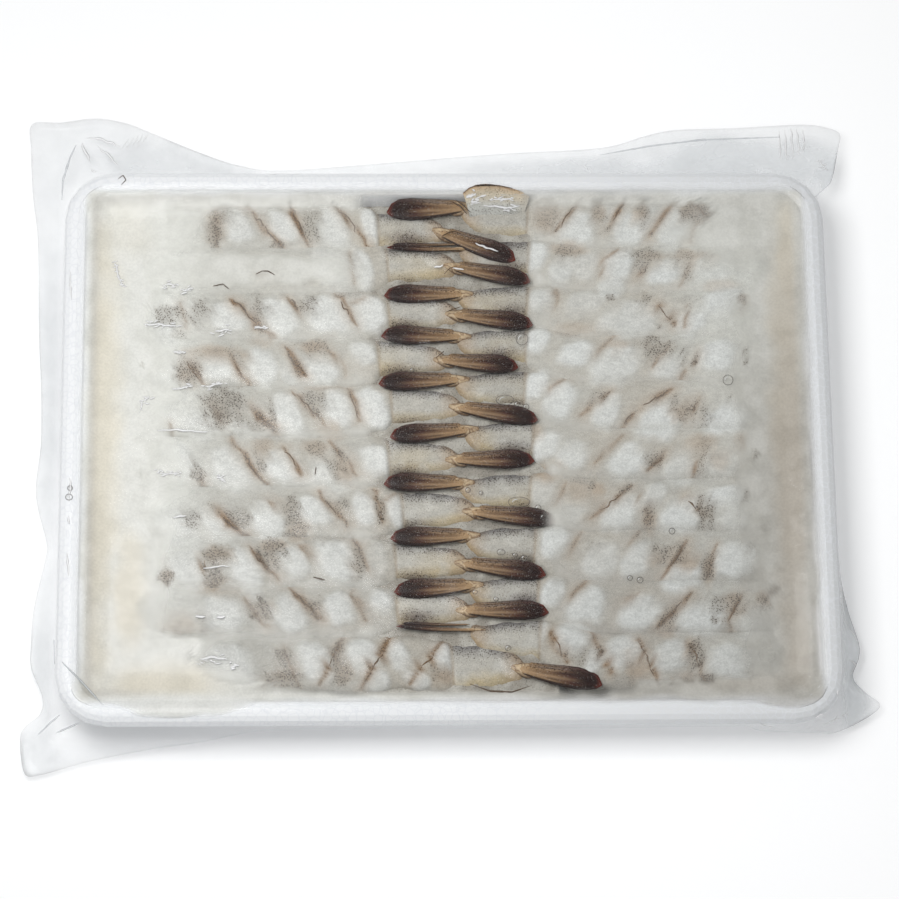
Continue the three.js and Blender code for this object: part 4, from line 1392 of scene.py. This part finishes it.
def inner_rings(count, rings, inset):
    """Rings of points from the tray's wall, inside its outline by the inset, to its middle line."""
    x, y = tray_outline(count, inset)
    core = np.clip(x, HALF_WIDTH - HALF_LENGTH, HALF_LENGTH - HALF_WIDTH)
    share = np.linspace(0, 1, rings)[:, None]
    return x + (core - x) * share, y * (1 - share)


def wall_inset(height):
    """How far in from the tray's outline its leaning wall is at a height."""
    return RIM_WIDTH + (RIM_SHOULDER_HEIGHT - height) * WALL_LEAN


# Milky places in the ice, by pixels of the photograph: (x, y, half width, half height, share)
MILKY = [
    (112, 450, 56, 290, 1),
    (787, 450, 48, 280, 1),
    (230, 272, 130, 17, 0.75),
    (150, 690, 110, 26, 0.85),
    (140, 225, 55, 40, 0.7),
    (140, 560, 25, 90, 0.6),
    (745, 222, 58, 42, 0.85),
    (750, 330, 30, 40, 0.4),
    (770, 540, 30, 110, 0.6),
    (170, 480, 40, 22, 0.4),
    (720, 230, 60, 25, 0.4),
]
CLEAR = [(580, 674, 50, 22, 1), (360, 688, 95, 9, 0.7)]
YELLOWISH = [
    (96, 450, 22, 230, 0.9),
    (165, 690, 50, 24, 0.9),
    (120, 230, 30, 30, 0.3),
    (790, 470, 17, 220, 1),
    (787, 262, 12, 60, 1),
    (783, 258, 9, 8, 1),
    (128, 590, 16, 50, 0.8),
    (92, 545, 5, 6, 1),
    (750, 690, 60, 14, 0.4),
]


def spots(marks, x, y, soft):
    """The strongest of some soft elliptical marks at each point."""
    value = np.zeros_like(x)
    edge = 0.25 * soft_noise(x, y, 7, 71)
    for px, py, half_width, half_height, strength in marks:
        cx, cy, half_x, half_y, _ = area_on_surface((px, py, half_width, half_height, 1))
        reach = reach_in(x, y, cx, cy, half_x, half_y) + edge
        value = np.maximum(value, strength * (1 - smoothstep(1 - soft, 1 + soft, reach)))
    return value


def tails_share(x, y):
    """1 over the strip where the tails interlock and the ice is clear, 0 away from it."""
    strip = 1 - smoothstep(25, 31, np.abs(x - 3 + 0.04 * y))
    strip = strip * smoothstep(7.2, 8.6, HALF_WIDTH - y) * smoothstep(8.5, 11, HALF_WIDTH + y)
    return np.maximum(strip, spots(CLEAR, x, y, 0.3))


def rim_height(inset):
    """Height of the rim's rounded top at a distance in from the tray's outline."""
    share = np.clip(1 - np.asarray(inset) / RIM_TOP_INSET, -1, 1)
    return 20 - CROWN_HEIGHT * (1 - np.sqrt(1 - share**2))


# The ice that spilled on the rim: how far in from the tray's outline it ends where it reached
# furthest and elsewhere, how far in it leaves the rim, and the places where it reached furthest
SPILL_FURTHEST = 1.6
SPILL_USUAL = 4.4
SPILL_INNER = 7.4
SPILL_RINGS = 8
SPILLED = [
    (172, 712, 34, 14, 1),
    (205, 706, 34, 11, 0.9),
    (145, 705, 22, 8, 0.7),
    (84, 690, 9, 12, 0.5),
    (790, 700, 26, 11, 0.6),
    (500, 697, 40, 5, 0.3),
]


FROST_HEIGHT = 14.9


def slab_faces(rows, columns):
    """Faces of a slab: a grid of points on top, the same grid below, and the sides."""
    count = rows * columns
    faces = []
    for i in range(rows - 1):
        for j in range(columns - 1):
            a = i * columns + j
            b = a + columns
            faces.append((a, b, b + 1, a + 1))
            faces.append((count + a, count + a + 1, count + b + 1, count + b))
    border = list(range(columns))
    border += [i * columns + columns - 1 for i in range(1, rows)]
    border += [(rows - 1) * columns + j for j in reversed(range(columns - 1))]
    border += [i * columns for i in reversed(range(1, rows - 1))]
    for a, b in zip(border, border[1:] + border[:1]):
        faces.append((a, b, count + b, count + a))
    return faces


def make_frost_bed(material):
    """Frosty ice that fills the gaps under the tails."""
    step = 1.0
    x, y = np.meshgrid(np.arange(-29, 35, step), np.arange(-83, 83, step), indexing="ij")
    z = FROST_HEIGHT + 0.5 * soft_noise(x, y, 4, 65) + 0.3 * soft_noise(x, y, 1.6, 66)
    top = point_list(x, y, z)
    points = np.concatenate([top, top * [1, 1, 0] + [0, 0, FLOOR_HEIGHT + 0.5]])
    paler = smoothstep(-0.4, 0.8, soft_noise(points[:, 0], points[:, 1], 3, 67))
    colour = blend(srgb(154, 149, 139), srgb(181, 178, 169), paler)
    values = flesh_values(len(points), colour, 0.55, 0.0)
    add_mesh("frost_bed", points, slab_faces(*x.shape), values, material, "ice")


def painted_ice_shade(x, y):
    """Painted shade on the ice, from 0 at the left to 1 at the front right, where the light falls
    off, with more of it in bands along the walls.
    """
    to_front = 0.2 + 0.3 * smoothstep(85, 40, y) + 0.35 * smoothstep(50, -10, y)
    to_front = to_front + 0.4 * smoothstep(-20, -75, y)
    at_left = 0.22 * smoothstep(20, -60, y)
    wall = wall_distance(x, y)
    by_left_wall = 0.45 * smoothstep(13, 9.5, wall) * smoothstep(7.4, 10, wall)
    by_left_wall = by_left_wall * smoothstep(-90, -110, x)
    by_right_wall = 0.25 * smoothstep(24, 12, wall) * smoothstep(60, 105, x)
    by_right_wall = by_right_wall * smoothstep(-40, 40, y)
    by_back_wall = 0.5 * smoothstep(78, 86, y) * smoothstep(-120, -80, x) * smoothstep(85, 62, x)
    walls = by_left_wall + by_right_wall + by_back_wall
    return np.clip(smoothstep(-60, 115, x) * to_front + at_left + walls, 0, 1)


def marks_share(shrimps, bare, x, y):
    """How much of the ice's cloud gives way to the dark patches and seams under it."""
    clear = np.zeros_like(x)
    for shrimp in shrimps:
        near = np.abs(y - shrimp.body_y) < 14
        line, _ = seam_strength(shrimp, x[near], y[near])
        patch = patch_strength(shrimp, x[near], y[near])
        clear[near] = np.maximum(clear[near], np.maximum(0.7 * patch, 0.5 * line))
    return clear * smoothstep(14, 15.5, look_up(bare, x, y))


def spilled_rings(count):
    """Rings of points on the rim, from the edge of the spilled ice to the rim's inner side."""
    outer = np.array(tray_outline(count, SPILL_FURTHEST))
    inner = np.array(tray_outline(count, SPILL_INNER))
    reach = spots(SPILLED, *tray_outline(count, 4), 0.6)
    start = SPILL_USUAL - (SPILL_USUAL - SPILL_FURTHEST) * reach
    inset = start + (SPILL_INNER - start) * np.linspace(0, 1, SPILL_RINGS)[:, None]
    share = (inset - SPILL_FURTHEST) / (SPILL_INNER - SPILL_FURTHEST)
    x, y = outer[:, None] + (inner - outer)[:, None] * share
    return x, y, np.maximum(rim_height(inset) + 0.07, ICE_EDGE_HEIGHT)


def ice_looks(shrimps, bare, x, y, z):
    """Cloudiness, tint, painted shade and paleness of the ice at points of its surface."""
    depth = np.maximum(z - look_up(blurred(bare, 2.2), x, y), 0)
    cloud = 0.5 * (1 - np.exp(-depth / ICE_HIDING_DEPTH)) + 0.6 * smoothstep(1.4, 2.8, depth)
    groove = np.maximum(z - look_up(blurred(bare, 0.5), x, y) - 0.5, 0)
    cloud = cloud + 0.45 * (1 - np.exp(-groove / 0.8))
    cloud = np.clip(cloud + 0.04 * soft_noise(x, y, 5, 63), 0.02, 1)
    over_tails = tails_share(x, y)
    cloud = cloud * (1 - over_tails) + 0.015 * over_tails
    cloud = np.maximum(cloud, spots(MILKY, x, y, 0.45))
    cloud = cloud * (1 - marks_share(shrimps, bare, x, y))
    wall = wall_distance(x, y)
    band = 9 - 1.2 * smoothstep(0, 60, y)
    by_wall = 1.05 * (1 - smoothstep(band, band + 2.4, wall)) * (1 - 0.8 * over_tails)
    cloud = np.maximum(cloud, by_wall)
    spilled = spots(SPILLED, x, y, 0.6)
    spill_edge = wall + 0.4 * soft_noise(x, y, 8, 64) + 6 * spilled
    cloud = cloud * smoothstep(4.8, 8, spill_edge)
    pale_edge = wall + 0.8 * soft_noise(x, y, 9, 68)
    pale = (1 - smoothstep(6.2, 9.2, pale_edge)) * (1 - 0.75 * spilled)
    tint = spots(YELLOWISH, x, y, 0.6) * smoothstep(8, 12, wall)
    return {"cloud": cloud, "tint": tint, "painted_shade": painted_ice_shade(x, y), "pale": pale}


def make_ice(shrimps, surface, bare, material):
    """Cloudy ice: clear over the tails, thin over the bodies and milky at the ends and walls."""
    count, rings = ((600, 90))
    x, y = inner_rings(count, rings, wall_inset(15.5) - 0.6)
    z = look_up(surface, x, y)
    spill = spilled_rings(count)
    x, y, z = (np.concatenate(pair) for pair in zip(spill, (x, y, z)))
    height_under = FLOOR_HEIGHT + 0.4
    under_rings = 12
    under_x, under_y = inner_rings(count, under_rings, wall_inset(height_under) + 2)
    points = np.concatenate([
        point_list(under_x[::-1], under_y[::-1], np.full_like(under_x, height_under)),
        point_list(x, y, z),
    ])
    faces = ring_faces(rings + under_rings + SPILL_RINGS, count, caps=False)
    values = ice_looks(shrimps, bare, *points.T)
    piece = add_mesh("cloudy_ice", points, faces, values, material, "ice")
    # Thin cloud scatters the light on to what lies under it, so it casts no shadow of its own
    piece.visible_shadow = False
    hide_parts("ice")


def closed_curve(points, count):
    """A smooth closed curve through points, as evenly spaced points."""
    points = np.asarray(points, float)
    before, after, beyond = (np.roll(points, k, 0) for k in (1, -1, -2))
    share = np.linspace(0, 1, 12, endpoint=False)[None, :, None]
    p0, p1, p2, p3 = (p[:, None, :] for p in (before, points, after, beyond))
    curve = 0.5 * (
        2 * p1
        + (p2 - p0) * share
        + (2 * p0 - 5 * p1 + 4 * p2 - p3) * share**2
        + (3 * p1 - p0 - 3 * p2 + p3) * share**3
    )
    curve = curve.reshape(-1, points.shape[1])
    closed = np.vstack([curve, curve[:1]])
    lengths = np.concatenate([[0], np.cumsum(np.linalg.norm(np.diff(closed, axis=0), axis=1))])
    place = np.linspace(0, lengths[-1], count, endpoint=False)
    return np.stack([np.interp(place, lengths, closed[:, k]) for k in range(points.shape[1])], -1)


def bag_edge(count):
    """The bag's outer edge as evenly spaced points."""
    marks = np.array(BAG_EDGE, float)
    x, y = at_pixel(marks[:, 0], marks[:, 1], marks[:, 2])
    return closed_curve(np.stack([x, y, marks[:, 2]], -1), count)


def on_outline(edge, inset):
    """The nearest points of the tray's outline, moved in by the inset, to the bag's edge."""
    core_x, core_y = HALF_LENGTH - TRAY_CORNER_RADIUS, HALF_WIDTH - TRAY_CORNER_RADIUS
    core = np.clip(edge[:, :2], [-core_x, -core_y], [core_x, core_y])
    away = edge[:, :2] - core
    away /= np.linalg.norm(away, axis=1)[:, None]
    return core + away * (TRAY_CORNER_RADIUS - inset)


FILM_GAP = 0.15

# Places where the bag's flaps are hazier and greyer, by pixels; beside the tray at the right and
# front this grey is also painted shade for the tray's shadow under the film
FLAP_HAZE_AND_SHADE = [
    (170, 155, 70, 22, 0.45),
    (760, 150, 110, 24, 0.75),
    (600, 160, 120, 12, 0.6),
    (830, 180, 22, 30, 1.3),
    (848, 640, 28, 90, 1.6),
    (835, 712, 45, 22, 1.2),
    (48, 370, 24, 110, 0.35),
    (35, 745, 24, 26, 0.35),
    (780, 730, 90, 9, 0.8),
    (45, 665, 30, 60, 0.25),
    (500, 726, 260, 8, 0.3),
]


def over_rim():
    """Inset and height of the film from below the lip, over the rim and down to the ice."""
    profile = [(-0.35, LIP_HEIGHT - 0.5), (-0.3, LIP_HEIGHT + 1.2)]
    for degrees in np.linspace(0, 125, 11):
        angle = math.radians(degrees)
        inset = RIM_TOP_INSET * (1 - math.cos(angle)) - FILM_GAP * math.cos(angle)
        height = 20 - CROWN_HEIGHT * (1 - math.sin(angle)) + FILM_GAP * math.sin(angle)
        profile.append((inset, height))
    profile.append((RIM_WIDTH - 0.1, ICE_EDGE_HEIGHT + FILM_GAP))
    return profile


# The shell of the back right shrimp bulges over the rim: its foot and its arched edge by pixels
BULGE_FOOT = [(470, 215), (494, 216), (524, 214)]
BULGE_ARCH = [
    (463, 193), (469, 188), (476, 185.3), (486, 184.2), (501, 185.8), (517, 189.6), (530, 195),
]


def over_bulge(x, y):
    """1 over the shell that bulges over the rim, 0 away from it."""
    left, back = at_pixel(BULGE_ARCH[0][0], 184, 20)
    right, _ = at_pixel(BULGE_ARCH[-1][0], 184, 20)
    along = smoothstep(left - 3, left + 3, x) * smoothstep(right + 3, right - 3, x)
    return along * smoothstep(back + 4, back, y) * smoothstep(0, 6, y)


def paint_bulge(level, across):
    """Greyish at the foot of the bulging shell, amber at its arched edge, pale at its right."""
    hue = blend(srgb(184, 184, 178), srgb(194, 184, 164), smoothstep(0.3, 0.7, level))
    hue = blend(hue, srgb(190, 168, 138), smoothstep(0.7, 0.95, level))
    rim = smoothstep(0.92, 1, level) * smoothstep(1, 0.7, across)
    hue = blend(hue, srgb(156, 126, 94), rim)
    return blend(hue, srgb(206, 200, 188), 0.7 * smoothstep(0.8, 1, across))


def make_bulging_shell(film, material):
    """The thin shell that bulges over the rim, just under the film."""
    columns, rows = 40, 12
    foot_x, foot_y = along_line(BULGE_FOOT, 1)
    arch_x, arch_y = along_line(BULGE_ARCH, 1)
    share = np.linspace(0, 1, columns)
    sheet = []
    for rise in np.linspace(0, 1, rows):
        ends = [
            np.interp(share, np.linspace(0, 1, len(line)), line)
            for line in (foot_x, foot_y, arch_x, arch_y)
        ]
        px = ends[0] + (ends[2] - ends[0]) * rise
        py = ends[1] + (ends[3] - ends[1]) * rise
        hits, _ = seen_at(film, px, py)
        below = 0.12 + 1.4 * (1 - smoothstep(0, 0.3, rise)) + 0.9 * smoothstep(0.88, 1, share)
        sheet.append(hits - below[:, None] * [0, 0, 1])
    top = np.concatenate(sheet)
    under = top - [0, 0, 0.15]
    rings = []
    for row in range(rows):
        upper = top[row * columns:(row + 1) * columns]
        lower = under[row * columns:(row + 1) * columns]
        rings.append(np.concatenate([upper, lower[::-1]]))
    points = np.concatenate(rings)
    level = np.repeat(np.linspace(0, 1, rows), 2 * columns)
    across = np.tile(np.concatenate([share, share[::-1]]), rows)
    values = flesh_values(len(points), paint_bulge(level, across), 0.6, 1.0)
    add_mesh("bulging_shell", points, ring_faces(rows, 2 * columns), values, material, "shrimp")


def middle_line(flat):
    """The nearest points of the tray's middle line."""
    x = np.clip(flat[:, 0], HALF_WIDTH - HALF_LENGTH, HALF_LENGTH - HALF_WIDTH)
    return np.column_stack([x, np.zeros(len(flat))])


def flap_rings(edge):
    """The bag's flaps: they ripple from its edge up to the lip of the rim."""
    lip = on_outline(edge, -0.35)
    rings = []
    for share in np.linspace(0, 1, 14, endpoint=False):
        flat = edge[:, :2] + (lip - edge[:, :2]) * share
        z = edge[:, 2] + (LIP_HEIGHT - 0.5 - edge[:, 2]) * share**1.8
        ripple = math.sin(math.pi * share) * 0.9
        z = z + ripple * soft_noise(flat[:, 0], flat[:, 1], 7, 81)
        rings.append(np.column_stack([flat, z]))
    return rings


def rim_rings(edge):
    """The film over the rim, lifted where the shell bulges."""
    rings = []
    for inset, height in over_rim():
        flat = on_outline(edge, inset)
        lift = 0.4 * over_bulge(flat[:, 0], flat[:, 1])
        rings.append(np.column_stack([flat, height + lift]))
    return rings


def skin_rings(edge, surface, count):
    """The film over the ice, from the tray's wall to its middle line."""
    wall = on_outline(edge, wall_inset(16))
    core = middle_line(wall)
    rings = []
    for share in np.linspace(0, 1, count):
        flat = wall + (core - wall) * share
        z = look_up(surface, flat[:, 0], flat[:, 1]) + FILM_GAP
        z = z + (ICE_EDGE_HEIGHT - z) * (1 - smoothstep(0, 0.04, share))
        rings.append(np.column_stack([flat, z]))
    return rings


def sheet_rings(edge):
    """The sheet under the tray, from its middle line to the bag's edge."""
    base = on_outline(edge, wall_inset(0) + 0.2)
    core = middle_line(on_outline(edge, wall_inset(16)))
    rings = []
    for share in np.linspace(0.08, 1, 16):
        flat = edge[:, :2] + (base - edge[:, :2]) * share
        z = edge[:, 2] * (1 - share) ** 0.8
        rings.append(np.column_stack([flat, z - 0.05]))
    for share in np.linspace(0.1, 1, 8):
        rings.append(np.column_stack([base + (core - base) * share, np.full(len(edge), -0.05)]))
    return rings[::-1]


def film_haze_and_shade(points, below):
    """How hazy the film is: most on its flaps, least over the tails; beside the tray at the right
    and front the flaps' haze is also painted shade.
    """
    x, y, _ = points.T
    outside = -wall_distance(x, y)
    flap = 0.13 + spots(FLAP_HAZE_AND_SHADE, x, y, 0.4) * 0.3
    flap = flap * (0.3 + 0.7 * smoothstep(0, 4, outside))
    haze = np.where(outside > -0.3, flap, 0.03 - 0.025 * tails_share(x, y))
    return np.where(below, np.where(outside > -5, flap, 0.03), haze)


def make_bag(surface, material):
    """The clear film: the sheet below, the flaps, and the skin over rim and contents."""
    count, inner = ((640, 70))
    edge = bag_edge(count)
    below = sheet_rings(edge)
    above = flap_rings(edge) + rim_rings(edge) + skin_rings(edge, surface, inner)
    points = np.concatenate(below + above)
    faces = ring_faces(len(below) + len(above), count, caps=False)
    haze = film_haze_and_shade(points, np.arange(len(points)) < len(below) * count)
    piece = add_mesh("vacuum_bag", points, faces, {"haze": haze}, material, "film")
    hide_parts("bag")
    return BVHTree.FromPolygons(points.tolist(), faces)


def marks_material():
    """Thin things on or in the film and ice: their own colour and opacity."""
    shader = Shader("film_marks")
    shader.set(Base_Color=shader.attribute("paint", "Color"), Alpha=shader.attribute("cloud"))
    shader.surface.inputs["Roughness"].default_value = 0.25
    return shader.material


def film_mark(strip, hue, opacity):
    """A strip on the film as a list with one part, or an empty one where there's no strip."""
    if strip is None:
        return []
    values = {"paint": np.full((len(strip), 3), hue), "cloud": np.full(len(strip), opacity)}
    return [(strip, ring_faces(len(strip) // 4, 4), values)]


def glints(tree):
    """Glints on the film's wrinkles, the broad ones scattered into sparkles."""
    chance = np.random.default_rng(5)
    white = srgb(255, 255, 255)
    parts = []
    for width, line in GLINT_LINES:
        broad = width >= BROAD_GLINT
        strip = ribbon(tree, line, width * (0.5 if broad else 0.9), 0.05, wander=1)
        parts += film_mark(strip, white, 0.65)
        for x, y in zip(*along_line(line, 2)) if broad else []:
            x, y = (x, y) + chance.normal(0, 0.45 * width, 2)
            across, down = chance.uniform(1, 3.5), chance.uniform(-1.2, 1.2)
            sparkle = [(x - across, y - down), (x + across, y + down)]
            strip = ribbon(tree, sparkle, chance.uniform(1, 2.4), 0.04, wander=0.8)
            parts += film_mark(strip, white, 0.6)
    return parts


def bubble_arc(bubble, turn, size=1.0):
    """Pixels round a bubble, or inside it where size is under 1."""
    cx, cy, half_width, half_height = bubble
    x, y = cx + size * half_width * np.cos(turn), cy + size * half_height * np.sin(turn)
    return list(zip(x, y))


def make_marks(tree, material):
    """Glints on the film's wrinkles, hairs and fine lines, and bubbles under the film."""
    parts = glints(tree)
    for width, line in FOLD_LINES:
        parts += film_mark(ribbon(tree, line, width, 0.15), srgb(212, 216, 219), 0.45)
    for width, line in DARK_LINES:
        parts += film_mark(ribbon(tree, line, width, 0.1), srgb(92, 70, 50), 0.75)
    turn = np.linspace(0, 2 * math.pi, 20)
    for bubble in BUBBLES:
        strip = ribbon(tree, bubble_arc(bubble, turn), 0.9, 0.06, True)
        parts += film_mark(strip, srgb(110, 106, 102), 0.35)
        strip = ribbon(tree, bubble_arc(bubble, turn[9:15], 0.6), 0.9, 0.06)
        parts += film_mark(strip, srgb(245, 246, 246), 0.6)
    add_mesh("film_marks", *joined(parts), material, "film")


def make_floor():
    """A wide level floor just under the film."""
    mesh = bpy.data.meshes.new("floor")
    reach, level = 3000 * MM, -0.12 * MM
    signs = [(-1, -1), (1, -1), (1, 1), (-1, 1)]
    corners = [(across * reach, along * reach, level) for across, along in signs]
    mesh.from_pydata(corners, [], [(0, 1, 2, 3)])
    mesh.materials.append(floor_material())
    floor = bpy.data.objects.new("floor", mesh)
    bpy.context.scene.collection.objects.link(floor)


def finish_tray():
    """The tray keeps its solid and gets the look of foam."""
    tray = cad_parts["tray"]
    tray.data.materials.clear()
    tray.data.materials.append(foam_material())


make_camera()
make_light()
make_floor()
finish_tray()
all_shrimps = [Shrimp(side, row) for side in ("left", "right") for row in range(10)]
flesh = shrimp_material()
dark_places = [one.dark_place() for one in all_shrimps]
for one in all_shrimps:
    make_shrimp(one, dark_places, flesh)
bare = bare_surface(all_shrimps)
contents = contents_surface(bare, all_shrimps)
make_frost_bed(flesh)
make_ice(all_shrimps, contents, bare, ice_material())
film = make_bag(contents, film_material())
make_bulging_shell(film, flesh)
make_marks(film, marks_material())
